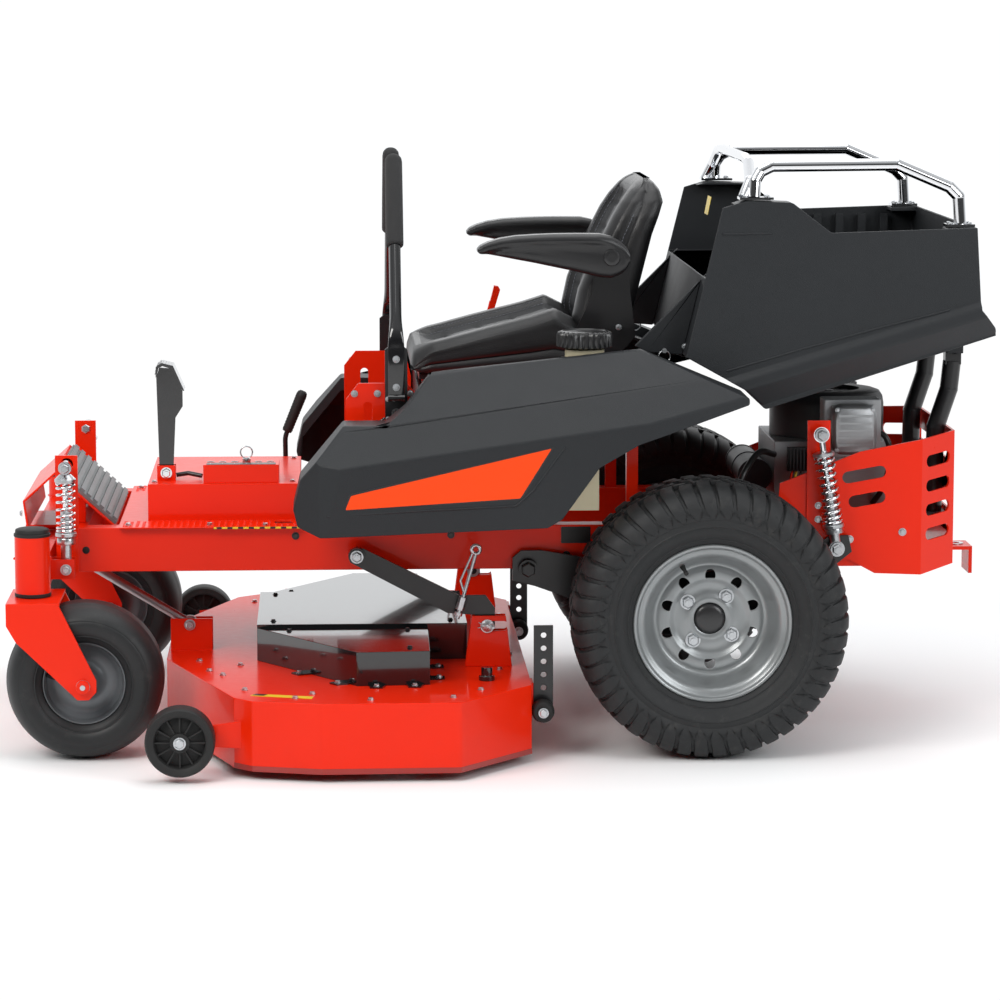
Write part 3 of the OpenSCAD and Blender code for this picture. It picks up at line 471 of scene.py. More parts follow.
scene = bpy.context.scene
scene.view_settings.view_transform = "Standard"
camera = bpy.data.objects.new("camera", bpy.data.cameras.new("camera"))
scene.collection.objects.link(camera)
camera.location = (-0.3886, -8.1510, 1.6086)
camera.rotation_euler = (math.radians(90 - 7.938), 0, math.radians(-2.738))
camera.data.lens = 132.12
camera.data.sensor_width = 36
scene.camera = camera

world = bpy.data.worlds.new("studio")
world.use_nodes = True
scene.world = world
sky = world.node_tree
sky.nodes["Background"].inputs["Color"].default_value = (0.97, 0.985, 1.0, 1)
way = add(sky, "ShaderNodeSeparateXYZ")
sky.links.new(add(sky, "ShaderNodeTexCoord").outputs["Generated"], way.inputs[0])
far = add(sky, "ShaderNodeMapRange", {"From Min": -0.35, "From Max": 0.75, "To Min": 0.05,
                                      "To Max": 1.05})
sky.links.new(way.outputs["Y"], far.inputs["Value"])
high = add(sky, "ShaderNodeMapRange", {"From Min": 0.15, "From Max": 0.95, "To Max": 0.75})
sky.links.new(way.outputs["Z"], high.inputs["Value"])
level = add(sky, "ShaderNodeMath", operation="MAXIMUM")
sky.links.new(far.outputs["Result"], level.inputs[0])
sky.links.new(high.outputs["Result"], level.inputs[1])
sky.links.new(level.outputs["Value"], sky.nodes["Background"].inputs["Strength"])


def softbox(name, at, aim, size, power, colour=(1, 1, 1)):
    data = bpy.data.lights.new(name, "AREA")
    data.shape = "RECTANGLE"
    data.size, data.size_y = size
    data.energy = power
    data.color = colour
    lamp = bpy.data.objects.new(name, data)
    scene.collection.objects.link(lamp)
    lamp.location = at
    lamp.rotation_euler = (Vector(aim) - Vector(at)).to_track_quat("-Z", "Y").to_euler()


softbox("key_light", (-3.0, -3.6, 3.6), (0, 0, 0.6), (2.6, 2.0), 150, (1.0, 0.98, 0.95))
softbox("fill_light", (3.4, -3.4, 2.4), (0.2, 0, 0.6), (2.4, 2.2), 85, (0.97, 0.985, 1.0))
softbox("top_light", (0.2, -0.2, 4.6), (0, 0, 0.6), (4.2, 3.0), 70)
softbox("back_light", (0.8, 4.2, 3.0), (0, 0, 0.8), (4.0, 1.6), 30)

bm = bmesh.new()
bmesh.ops.create_grid(bm, x_segments=2, y_segments=2, size=9)
floor_mesh = bpy.data.meshes.new("studio_floor")
bm.to_mesh(floor_mesh)
bm.free()
floor = bpy.data.objects.new("studio_floor", floor_mesh)
scene.collection.objects.link(floor)
pale = material("pale_floor", (0.96, 0.965, 0.97), 0.60, vary=0.01, vary_size=1.5, bump=0.05,
                bump_size=90)
floor_mesh.materials.append(pale)
# away from the mower the floor fades into the white backdrop
tree = pale.node_tree
spread = add(tree, "ShaderNodeVectorMath", operation="LENGTH")
tree.links.new(add(tree, "ShaderNodeTexCoord").outputs["Object"], spread.inputs[0])
fade = add(tree, "ShaderNodeMapRange", {"From Min": 1.25, "From Max": 2.6, "To Max": 1.0})
tree.links.new(spread.outputs["Value"], fade.inputs["Value"])
glow = add(tree, "ShaderNodeEmission", {"Strength": 1.02})
both_looks = add(tree, "ShaderNodeMixShader")
tree.links.new(fade.outputs["Result"], both_looks.inputs[0])
tree.links.new(tree.nodes["Principled BSDF"].outputs[0], both_looks.inputs[1])
tree.links.new(glow.outputs[0], both_looks.inputs[2])
tree.links.new(both_looks.outputs[0], tree.nodes["Material Output"].inputs["Surface"])


# ---------------------------------------------------------------- CAD pieces that keep their shape

FINISHES = {
    "height_pin": "zinc", "front_shock_rods": "chrome", "front_shock_body_left": "zinc",
    "front_shock_body_right": "zinc", "rear_shock_rods": "chrome", "rear_shock_bodies": "zinc",
    "antiscalp_wheels": "rubber", "rear_rollers": "rubber", "blade_left": "steel",
    "blade_centre": "steel", "blade_right": "steel", "bed_rails": "chrome",
    "bed_frame_tubes": "black", "hand_lever": "black", "fuel_tank": "tank",
    "footrest_pad": "pad", "control_lever_left": "gloss_black",
    "control_lever_right": "gloss_black", "red_lever": "red", "deck_pedal": "black",
}
for name, finish in FINISHES.items():
    mesh = nodes[name].data
    mesh.materials.clear()
    mesh.materials.append(M[finish])
    for face in mesh.polygons:
        face.material_index = 0

SOFTENED = {
    "frame_rails": (0.0016, "red", "red_paint"),
    "cross_members": (0.0012, "red", "red_paint"),
    "floor_pan": (0.0011, "red", "red_paint"),
    "footrest_guard": (0.0018, "red", "red_paint"),
    "engine_guard": (0.0018, "red", "red_paint"),
    "height_stop_box": (0.0011, "red", "red_paint"),
    "front_arm_left": (0.0030, "red", "red_paint"),
    "front_arm_right": (0.0030, "red", "red_paint"),
    "caster_fork_left": (0.0020, "red", "red_paint"),
    "caster_fork_right": (0.0020, "red", "red_paint"),
    "rear_swing_frame": (0.0025, "black", "black_paint"),
    "transaxles": (0.0050, "case", "transaxle_case"),
    "deck_lift_arms": (0.0015, "black", "black_paint"),
    # the discharge chute gets the darker red that is painted shade, not a paint of its own
    "discharge_chute": (0.0012, "dark_red", "dark_red_paint"),
    "lever_pivot_left": (0.0014, "black", "black_paint"),
    "lever_pivot_right": (0.0014, "black", "black_paint"),
    "engine_block": (0.0022, "cast", "engine_alloy"),
    "seat_rails": (0.0020, "black", "black_paint"),
}
for name, (width, finish, record_slot) in SOFTENED.items():
    softened(name, width, finish)


# ---------------------------------------------------------------- drive tyres with turf tread

def along(points, s):
    """Point at share s of a broken line of (radius, width)."""
    lengths = [math.dist(a, b) for a, b in zip(points, points[1:])]
    target = s * sum(lengths)
    for (a, b), length in zip(zip(points, points[1:]), lengths):
        if target <= length:
            t = target / length
            return a[0] + (b[0] - a[0]) * t, a[1] + (b[1] - a[1]) * t
        target -= length
    return points[-1]


# From the side of the tyre over the shoulder to the middle of the tread: (radius, half width)
LUG_LINE = [(0.2235, 0.1268), (0.2350, 0.1330), (0.2480, 0.1334), (0.2600, 0.1303),
            (0.2710, 0.1235), (0.2800, 0.1130), (0.2860, 0.1000), (0.2895, 0.0850),
            (0.2912, 0.0600), (0.2918, 0.0300), (0.2920, 0.0000)]


def add_lug(bm, line, centre, half_turn, spans, bend, depth, at, flip):
    """A rubber block on the tyre: a ribbon with sloping sides that follows the tread's line."""
    rows = []
    for s in spans:
        r, y = along(line, s)
        r2, y2 = along(line, min(1.0, s + 0.02))
        r1, y1 = along(line, max(0.0, s - 0.02))
        tangent = Vector((r2 - r1, y2 - y1)).normalized()
        inward = Vector((tangent.y, -tangent.x))
        if inward.x > 0 or (abs(inward.x) < 1e-6 and inward.y > 0):
            inward = -inward
        share = (s - spans[0]) / (spans[-1] - spans[0])
        sink = depth(share)
        turn, half = centre + bend(share), half_turn(share)
        row = []
        for side, level in ((-1.18, 1.0), (-1.0, 0.12), (-0.86, 0.0), (0.0, -0.01), (0.86, 0.0),
                            (1.0, 0.12), (1.18, 1.0)):
            rr, yy = r + inward.x * sink * level, y + inward.y * sink * level
            a = turn + half * side
            row.append(bm.verts.new((at[0] + rr * math.cos(a), at[1] + flip * yy,
                                     at[2] + rr * math.sin(a))))
        rows.append(row)
    for near, far in zip(rows, rows[1:]):
        for k in range(6):
            bm.faces.new((near[k], near[k + 1], far[k + 1], far[k]))
    bm.faces.new(rows[0])
    bm.faces.new(rows[-1])


def drive_tyre(side, tag):
    low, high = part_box("rear_tyre_" + side)
    at = (low + high) / 2
    lugs = 46
    base = [(r - 0.0070, y - 0.0018) if y > 0.11 else (r - 0.0085, y) for r, y in LUG_LINE]
    side_wall = [(0.1640, 0.0925), (0.1660, 0.1035), (0.1700, 0.1075), (0.1760, 0.1110),
                 (0.1775, 0.1128), (0.1800, 0.1128), (0.1815, 0.1150), (0.1950, 0.1215),
                 (0.2050, 0.1262), (0.2066, 0.1282), (0.2084, 0.1282), (0.2100, 0.1272),
                 (0.2130, 0.1280), (0.2200, 0.1262)]
    outer = side_wall + base[1:-1]
    profile = outer + [(base[-1][0], 0.0)] + [(r, -y) for r, y in reversed(outer)]
    bm = bmesh.new()
    add_lathe(bm, profile, at, (0, 1, 0), 144)
    rng = random.Random(11)
    for flip in (-1, 1):
        for k in range(lugs):
            a = 2 * math.pi * (k + (0.25 if flip > 0 else -0.25)) / lugs
            reach = 0.74 if k % 2 else 0.86
            spans = [reach * i / 13 for i in range(14)]
            add_lug(bm, LUG_LINE, a, lambda t: (0.030 + 0.022 * min(1, t * 6)) * (
                        0.35 + 0.65 * min(1.0, t / 0.10)) * (1.0 - 0.10 * t),
                    spans, lambda t: 0.050 * math.sin(2.3 * t) - 0.02,
                    lambda t: 0.0018 + 0.0058 * min(1.0, t * 2.2), at, flip)
    # blocks across the middle, staggered
    for row, y in enumerate((-0.030, 0.0, 0.030)):
        for k in range(lugs):
            a = 2 * math.pi * (k + 0.5 * (row % 2) + 0.2) / lugs
            ends = [(0.2919, y - 0.0105), (0.2920, y), (0.2919, y + 0.0105)]
            add_lug(bm, ends, a, lambda t: 0.046, [0.0, 0.5, 1.0], lambda t: 0.02 * (t - 0.5),
                    lambda t: 0.0080, at, 1)
    # moulding hairs
    for k in range(46):
        a = 2 * math.pi * (k + 0.6) / 46 + rng.uniform(-0.02, 0.02)
        flip = -1 if k % 2 else 1
        r, y = rng.choice(((0.2350, 0.1328), (0.2150, 0.1272), (0.2600, 0.1300)))
        start = Vector((at[0] + r * math.cos(a), at[1] + flip * y, at[2] + r * math.sin(a)))
        lift = 0.0016 + 0.0010 * rng.random()
        tip = start + Vector((math.cos(a + 1.2) * 0.004, flip * lift * 0.3, math.sin(a + 1.2) * 0.004))
        add_cylinder(bm, start, tip, 0.0005, 6, r_end=0.0002)
    tyre = piece_from("drive_tyre_" + side, bm, "drive_wheel_" + tag, "tyre", 32)
    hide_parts("rear_tyre_" + side)


def drive_rim(side, sign, tag):
    low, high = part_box("rear_tyre_" + side)
    at = (low + high) / 2
    out = Vector((0, sign, 0))
    body = "drive_wheel_" + tag
    # dished disc with D-shaped vents
    bm = bmesh.new()
    disc = [(0.0340, 0.0385), (0.0400, 0.0400), (0.0460, 0.0400), (0.0500, 0.0365), (0.0720, 0.0365),
            (0.0790, 0.0395), (0.0850, 0.0440), (0.0870, 0.0450), (0.0900, 0.0458), (0.0950, 0.0462),
            (0.1000, 0.0462), (0.1040, 0.0458), (0.1065, 0.0450), (0.1100, 0.0440),
            (0.1130, 0.0425), (0.1160, 0.0425), (0.1190, 0.0440), (0.1230, 0.0470),
            (0.1270, 0.0540), (0.1310, 0.0640), (0.1360, 0.0780), (0.1400, 0.0880),
            (0.1450, 0.0945), (0.1500, 0.0975), (0.1560, 0.0990), (0.1590, 0.1020),
            (0.1605, 0.1055), (0.1620, 0.1072), (0.1645, 0.1078), (0.1655, 0.1066),
            (0.1655, 0.1045)]
    vents = 10
    half_width = {0.0870: 0.0095, 0.0900: 0.0108, 0.0950: 0.0110, 0.1000: 0.0098, 0.1040: 0.0070,
                  0.1065: 0.0030}
    sector = math.pi / vents
    grid = []
    for r, y in disc:
        half = half_width.get(r, 0.0105 if r < 0.087 else 0.0028) / max(r, 0.02)
        half = min(half, sector * 0.6)
        row = []
        for v in range(vents):
            middle = 2 * math.pi * (v + 0.5) / vents
            angles = ([-sector + (sector - half) * i / 5 for i in range(5)]
                      + [-half + 2 * half * i / 6 for i in range(7)]
                      + [half + (sector - half) * i / 5 for i in range(1, 5)])
            row += [bm.verts.new(at + Vector((r * math.cos(middle + a), sign * y,
                                              r * math.sin(middle + a)))) for a in angles]
        grid.append(row)
    count = len(grid[0])
    per = count // vents
    for i in range(len(disc) - 1):
        open_row = 0.0865 < disc[i][0] < 0.1050
        for k in range(count):
            if open_row and 5 <= k % per <= 10:
                continue
            j = (k + 1) % count
            bm.faces.new((grid[i][k], grid[i][j], grid[i + 1][j], grid[i + 1][k]))
    mesh = bpy.data.meshes.new("rim_disc_" + side)
    bmesh.ops.recalc_face_normals(bm, faces=bm.faces)
    bm.to_mesh(mesh)
    bm.free()
    smooth(mesh, 50)
    face = link_mesh("rim_disc_" + side, mesh, None, "silver_rim")
    thick = face.modifiers.new("sheet", "SOLIDIFY")
    thick.thickness = 0.0032
    thick.offset = 0
    edge = face.modifiers.new("edge", "BEVEL")
    edge.width, edge.segments, edge.angle_limit = 0.0008, 2, math.radians(50)
    applied(face)
    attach(face, body)
    # barrel of the rim, with its inner flange, and the axle flange
    bm = bmesh.new()
    barrel = [(0.1360, 0.0770), (0.1380, 0.0500), (0.1360, -0.0200), (0.1360, -0.0760),
              (0.1480, -0.0880), (0.1560, -0.0980), (0.1600, -0.1050), (0.1640, -0.1076),
              (0.1655, -0.1055), (0.1620, -0.1010), (0.1540, -0.0900), (0.1430, -0.0720),
              (0.1400, -0.0300), (0.1420, 0.0500), (0.1440, 0.0840), (0.1360, 0.0770)]
    add_lathe(bm, [(r, sign * y) for r, y in barrel], at, (0, 1, 0), 96)
    piece_from("rim_barrel_" + side, bm, body, "silver_rim", 35)
    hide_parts("rear_rim_" + side)
    # hub: axle flange, cap and lug nuts
    bm = bmesh.new()
    add_lathe(bm, [(0.0, sign * 0.010), (0.070, sign * 0.010), (0.074, sign * 0.014),
                   (0.074, sign * 0.034), (0.0, sign * 0.034)], at, (0, 1, 0), 48)
    add_cylinder(bm, (at[0], sign * 0.270, at[2]), at + out * 0.012, 0.0168, 32)
    piece_from("axle_flange_" + side, bm, body, "case")
    bm = bmesh.new()
    add_lathe(bm, [(0.0, sign * 0.047), (0.020, sign * 0.0468), (0.027, sign * 0.0450),
                   (0.0310, sign * 0.0420), (0.0325, sign * 0.0380), (0.0325, sign * 0.0300)],
              at, (0, 1, 0), 48)
    piece_from("hub_cap_" + side, bm, body, "cap", 50)
    nuts = []
    for k in range(4):
        a = math.radians(45 + 90 * k + 8)
        nuts.append((at + Vector((0.058 * math.cos(a), sign * 0.0382, 0.058 * math.sin(a))), out,
                     0.0150, 0.004))
    bolts("lug_nuts_" + side, body, nuts)
    bm = bmesh.new()
    a = math.radians(118)
    foot = at + Vector((0.132 * math.cos(a), sign * 0.066, 0.132 * math.sin(a)))
    path = [foot, foot + Vector((-0.004 * math.cos(a), sign * 0.014, -0.004 * math.sin(a))),
            foot + Vector((-0.010 * math.cos(a), sign * 0.028, -0.010 * math.sin(a)))]
    add_tube(bm, bezier_path(path, 5), lambda t: 0.0062 - 0.0026 * t, 16)
    add_cylinder(bm, path[2], path[2] + (path[2] - path[1]).normalized() * 0.008, 0.0045, 14)
    piece_from("tyre_valve_" + side, bm, body, "rubber", 50)


def caster_wheel(side, sign, tag):
    low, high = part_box("caster_tyre_" + side)
    at = (low + high) / 2
    body = "caster_wheel_" + tag
    outer = [(0.0860, 0.0560), (0.0880, 0.0640), (0.0900, 0.0665), (0.0960, 0.0705),
             (0.1000, 0.0740), (0.1015, 0.0760), (0.1040, 0.0760), (0.1055, 0.0775),
             (0.1130, 0.0800), (0.1240, 0.0824), (0.1330, 0.0818), (0.1345, 0.0806),
             (0.1360, 0.0806), (0.1380, 0.0800), (0.1450, 0.0748), (0.1520, 0.0668),
             (0.1575, 0.0560), (0.1612, 0.0440), (0.1634, 0.0320), (0.1642, 0.0300),
             (0.1642, 0.0284), (0.1650, 0.0270), (0.1650, 0.0100)]
    profile = [(r, -y) for r, y in outer] + [(r, y) for r, y in reversed(outer)]
    bm = bmesh.new()
    add_lathe(bm, profile, at, (0, 1, 0), 128)
    tyre = piece_from("caster_tyre_skin_" + side, bm, body, "smooth_tyre", 35)
    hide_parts("caster_tyre_" + side)
    half = [(0.0870, 0.0545), (0.0872, 0.0600), (0.0862, 0.0615), (0.0846, 0.0610),
            (0.0830, 0.0575), (0.0815, 0.0520), (0.0800, 0.0440), (0.0775, 0.0400),
            (0.0730, 0.0370), (0.0700, 0.0330), (0.0640, 0.0290), (0.0480, 0.0280),
            (0.0400, 0.0300), (0.0330, 0.0360), (0.0290, 0.0420), (0.0280, 0.0700),
            (0.0265, 0.0770), (0.0230, 0.0790), (0.0150, 0.0790), (0.0150, 0.0600)]
    bm = bmesh.new()
    add_lathe(bm, half, at, (0, 1, 0), 96)
    add_lathe(bm, [(r, -y) for r, y in half], at, (0, 1, 0), 96)
    add_lathe(bm, [(0.0870, -0.0560), (0.0800, -0.045), (0.0800, 0.045), (0.0870, 0.0560)], at,
              (0, 1, 0), 96)
    rim = piece_from("caster_rim_skin_" + side, bm, body, "grey_rim", 35)
    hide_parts("caster_rim_" + side)
    bm = bmesh.new()
    for flip in (-1, 1):
        add_lathe(bm, [(0.0090, flip * 0.0800), (0.0140, flip * 0.0805), (0.0146, flip * 0.0765),
                       (0.0146, flip * 0.0600)], at, (0, 1, 0), 32)
    piece_from("caster_bearings_" + side, bm, body, "zinc", 40)
    bm = bmesh.new()
    a = math.radians(168)
    foot = at + Vector((0.078 * math.cos(a), sign * 0.042, 0.078 * math.sin(a)))
    tip = foot + Vector((-0.016 * math.cos(a), sign * 0.026, -0.016 * math.sin(a)))
    add_tube(bm, bezier_path([foot, (foot + tip) / 2 + Vector((0, sign * 0.004, 0)), tip], 5),
             lambda t: 0.0060 - 0.0022 * t, 14)
    piece_from("caster_valve_" + side, bm, body, "rubber", 50)


for side, sign, tag in SIDES:
    drive_tyre(side, tag)
    drive_rim(side, sign, tag)
    caster_wheel(side, sign, tag)


# ---------------------------------------------------------------- springs and dampers

def helix(top, bottom, r, wire, coils, tight_end, steps=26):
    """Coil from top to bottom whose turns close up towards the bottom end."""
    top, bottom = Vector(top), Vector(bottom)
    axis = (bottom - top).normalized()
    across = axis.orthogonal().normalized()
    third = axis.cross(across)
    length = (bottom - top).length
    path = []
    count = int(coils * steps)
    for i in range(count + 1):
        t = i / count
        drop = t + tight_end * math.sin(math.pi * t) * t
        # flat dead turns at both ends
        drop = min(1.0, max(0.0, (drop * 1.10 - 0.05)))
        a = 2 * math.pi * coils * t
        path.append(top + axis * (wire + (length - 2 * wire) * drop)
                    + across * r * math.cos(a) + third * r * math.sin(a))
    return path


def spring(name, top, bottom, r, wire, coils, replaced, tight):
    bm = bmesh.new()
    add_tube(bm, helix(top, bottom, r, wire, coils, tight), wire, 12)
    piece = piece_from(name, bm, None, "chrome", 60)
    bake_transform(piece)
    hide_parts(replaced)


SHOCK_X, SHOCK_Y = -0.943, 0.375
for side, sign, tag in SIDES:
    y = sign * SHOCK_Y
    spring("front_coil_" + side, (SHOCK_X, y, 0.567), (SHOCK_X, y, 0.460), 0.0180, 0.0034, 9.5,
           "front_spring_" + side, 0.28)
    bm = bmesh.new()
    # spring seats, adjuster collar and bump stop
    add_lathe(bm, [(0.0119, -0.0015), (0.0215, -0.0015), (0.0228, 0.0), (0.0228, 0.006),
                   (0.0215, 0.0078), (0.0119, 0.0078)], (SHOCK_X, y, 0.452), (0, 0, 1), 48)
    add_lathe(bm, [(0.0118, 0.0), (0.0190, 0.0), (0.0198, 0.002), (0.0198, 0.012),
                   (0.0188, 0.014), (0.0118, 0.014)], (SHOCK_X, y, 0.434), (0, 0, 1), 24)
    piece_from("front_seat_low_" + side, bm, "front_shock_" + tag, "zinc", 35)
    bm = bmesh.new()
    add_lathe(bm, [(0.0070, 0.0), (0.0215, 0.0), (0.0228, 0.0015), (0.0228, 0.007),
                   (0.0180, 0.012), (0.0120, 0.018), (0.0070, 0.018)], (SHOCK_X, y, 0.567),
              (0, 0, 1), 48)
    piece_from("front_seat_high_" + side, bm, "chassis", "zinc", 35)
    bm = bmesh.new()
    for at, axis, size in (((SHOCK_X, y + sign * 0.017, 0.599), (0, sign, 0), 0.0125),
                           ((SHOCK_X, y - sign * 0.051, 0.599), (0, -sign, 0), 0.0125)):
        add_bolt(bm, at, axis, size, stud=0.003)
    add_cylinder(bm, (SHOCK_X, y - sign * 0.014, 0.599), (SHOCK_X, y + sign * 0.014, 0.599), 0.0105, 28)
    piece_from("front_shock_bolts_" + side, bm, "chassis", "zinc", 30)
    bolts("front_clevis_bolts_" + side, "front_arm_" + tag,
          [((SHOCK_X, y + sign * 0.0212, 0.382), (0, sign, 0), 0.0110, 0.004),
           ((SHOCK_X, y - sign * 0.0212, 0.382), (0, -sign, 0), 0.0110)])

R_TOP = Vector((0.676, 0, 0.658))
R_AXIS = (Vector((0.712, 0, 0.410)) - R_TOP).normalized()


def on_rear(distance, y):
    """Point on a rear damper's axis at a distance below its top eye."""
    return R_TOP + R_AXIS * distance + Vector((0, y, 0))


for side, sign, tag in SIDES:
    y = sign * 0.352
    spring("rear_coil_" + side, on_rear(0.0485, y), on_rear(0.1965, y), 0.0195, 0.0038, 10.5,
           "rear_springs", 0.10)
    bm = bmesh.new()
    add_lathe(bm, [(0.0080, 0.0), (0.0225, 0.0), (0.0238, 0.0016), (0.0238, 0.0070),
                   (0.0220, 0.0085), (0.0170, 0.0100), (0.0080, 0.0100)], on_rear(0.0480, y),
              -R_AXIS, 48)
    piece_from("rear_seat_high_" + side, bm, "rear_shock_upper", "zinc", 35)
    bm = bmesh.new()
    add_lathe(bm, [(0.0120, 0.0), (0.0225, 0.0), (0.0238, 0.0016), (0.0238, 0.0070),
                   (0.0225, 0.0086), (0.0120, 0.0086)], on_rear(0.1970, y), R_AXIS, 48)
    add_lathe(bm, [(0.0120, 0.0), (0.0200, 0.0), (0.0205, 0.002), (0.0205, 0.010),
                   (0.0120, 0.012)], on_rear(0.2070, y), R_AXIS, 18)
    piece_from("rear_seat_low_" + side, bm, "rear_shock_lower", "zinc", 35)
    for end, distance, body in (("top", 0, "chassis"), ("low", 0.2506, "swing_frame")):
        bolts("rear_shock_%s_nut_%s" % (end, side), body,
              [(on_rear(distance, sign * 0.3695), (0, sign, 0), 0.0135, 0.003)])


# ---------------------------------------------------------------- creased sheets: fenders and bed

creased("fenders", 0.0045, 0.0018, "charcoal")
creased("cargo_bed", 0.0060, 0.0022, "charcoal")
deck_skin = creased("deck_shell", 0.0050, 0.0012, "red")
# the strips that carry the rear rollers are black
deck_skin.data.materials.append(M["black"])
for face in deck_skin.data.polygons:
    if min(deck_skin.data.vertices[i].co.x for i in face.vertices) > 0.044:
        face.material_index = 1
creased("deck_covers", 0.0040, 0.0010, "gloss_black")


def panel(name, corners, thick, body, finish, round_by=0.0):
    """Thin flat panel through corners given in order, raised by its thickness."""
    pts = [Vector(c) for c in corners]
    normal = (pts[1] - pts[0]).cross(pts[-1] - pts[0]).normalized()
    if round_by:
        ring = []
        for i, corner in enumerate(pts):
            a = (pts[i - 1] - corner).normalized() * round_by
            b = (pts[(i + 1) % len(pts)] - corner).normalized() * round_by
            for s in range(5):
                t = s / 4
                ring.append(corner + a * (1 - t) ** 2 + b * t ** 2)
        pts = ring
    bm = bmesh.new()
    add_prism(bm, pts, normal * thick)
    return piece_from(name, bm, body, finish, angle=30)


def on_fender(x, z, sign, lift=0.0):
    """Point on a fender's outer face, which leans in towards its lower edge."""
    crease = 0.622 + 0.142 * (x + 0.349)
    y = 0.604 + min(0.0, (z - crease)) * 16 / 260 + lift
    if x < -0.349:
        y -= (-0.349 - x) * 14 / 53
    if x > 0.265:
        y -= (x - 0.265) * 24 / 235
    return (x, sign * y, z)


for side, sign, tag in SIDES:
    for label, grow, lift, finish in (("frame", 0.0, 0.0004, "decal_dark"),
                                      ("panel", 0.003, 0.0009, "decal_orange")):
        outline = [(-0.352 + grow, 0.532 + grow), (-0.340 + grow, 0.568 - grow),
                   (0.086 - grow * 2, 0.665 - grow), (0.018 - grow, 0.554 + grow)]
        corners = [on_fender(x, z, sign, lift) for x, z in outline]
        if sign > 0:
            corners.reverse()
        panel("fender_%s_%s" % (label, side), corners, 0.0006, "chassis", finish,
              round_by=0.004)
    # screws along the lower lip
    bolts("fender_screws_" + side, "chassis",
          [(on_fender(x, 0.498 + 0.004 * (x > 0), sign, -0.006), (0, sign, 0), 0.0050)
           for x in (-0.30, -0.08)], "black")


# raised lines moulded into the fenders and the bed's sides
for side, sign, tag in SIDES:
    bm = bmesh.new()
    line = [(-0.387, 0.5955, 0.521), (-0.194, 0.5965, 0.532), (0.006, 0.5960, 0.541),
            (0.042, 0.5970, 0.573), (0.077, 0.5992, 0.621), (0.108, 0.6016, 0.664)]
    add_tube(bm, filleted([(x, sign * y, z) for x, y, z in line], 0.014), 0.0024, 10)
    piece_from("fender_line_" + side, bm, "chassis", "charcoal", 60)
    bm = bmesh.new()
    low_line = [(0.462, 0.4345, 0.804), (0.618, 0.4345, 0.849), (0.788, 0.4350, 0.895),
                (0.936, 0.4350, 0.932)]
    add_tube(bm, filleted([(x, sign * y, z) for x, y, z in low_line], 0.02), 0.0026, 10)
    high_line = [(0.452, 0.4238, 1.094), (0.500, 0.4242, 1.094), (0.556, 0.4244, 1.095)]
    add_tube(bm, filleted([(x, sign * y, z) for x, y, z in high_line], 0.02), 0.0024, 10)
    piece_from("bed_line_" + side, bm, "bed", "charcoal", 60)


# ---------------------------------------------------------------- seat

def loft(name, sections, body, finish, angle=55):
    """Closed skin over rings of points that all have the same count."""
    bm = bmesh.new()
    add_rings(bm, sections)
    return piece_from(name, bm, body, finish, angle)


def ease(t):
    t = min(1.0, max(0.0, t))
    return t * t * (3 - 2 * t)


def curve(points, x):
    """Value at x on the broken line through (x, value) points."""
    for (x0, v0), (x1, v1) in zip(points, points[1:]):
        if x <= x1 or (x1, v1) == points[-1]:
            t = min(1.0, max(0.0, (x - x0) / (x1 - x0)))
            return v0 + (v1 - v0) * t
    return points[-1][1]


HALF = 0.226
CUSHION_TOP = [(-0.205, 0.806), (-0.198, 0.832), (-0.180, 0.841), (-0.130, 0.853), (-0.060, 0.872),
               (0.000, 0.887), (0.060, 0.902), (0.110, 0.918), (0.150, 0.898), (0.190, 0.862),
               (0.222, 0.826)]
SEAM_Y = 0.150


def cushion_height(x, y):
    """Top of the cushion: side bolsters, a sewn groove and a channelled middle panel."""
    rim = curve(CUSHION_TOP, x)
    y = abs(y)
    dish = 0.030 * ease((SEAM_Y + 0.020 - y) / 0.050) * ease((x + 0.200) / 0.06)
    crown = 0.010 * (1 - (y / SEAM_Y) ** 2) * ease((x + 0.190) / 0.10) if y < SEAM_Y else 0.0
    groove = 0.0055 * math.exp(-((y - SEAM_Y) / 0.0045) ** 2)
    channel = 0.0
    if y < SEAM_Y - 0.010:
        for x0 in (-0.110, -0.035, 0.040):
            channel += 0.0050 * math.exp(-((x - x0 + 0.05 * y * y / 0.0225 * 0.3) / 0.0048) ** 2)
    if x < -0.150:
        groove *= ease((x + 0.195) / 0.045)
    edge = max(0.0, (y - 0.190) / (HALF - 0.190))
    return rim - dish + crown - groove - channel - 0.020 * edge ** 2.4


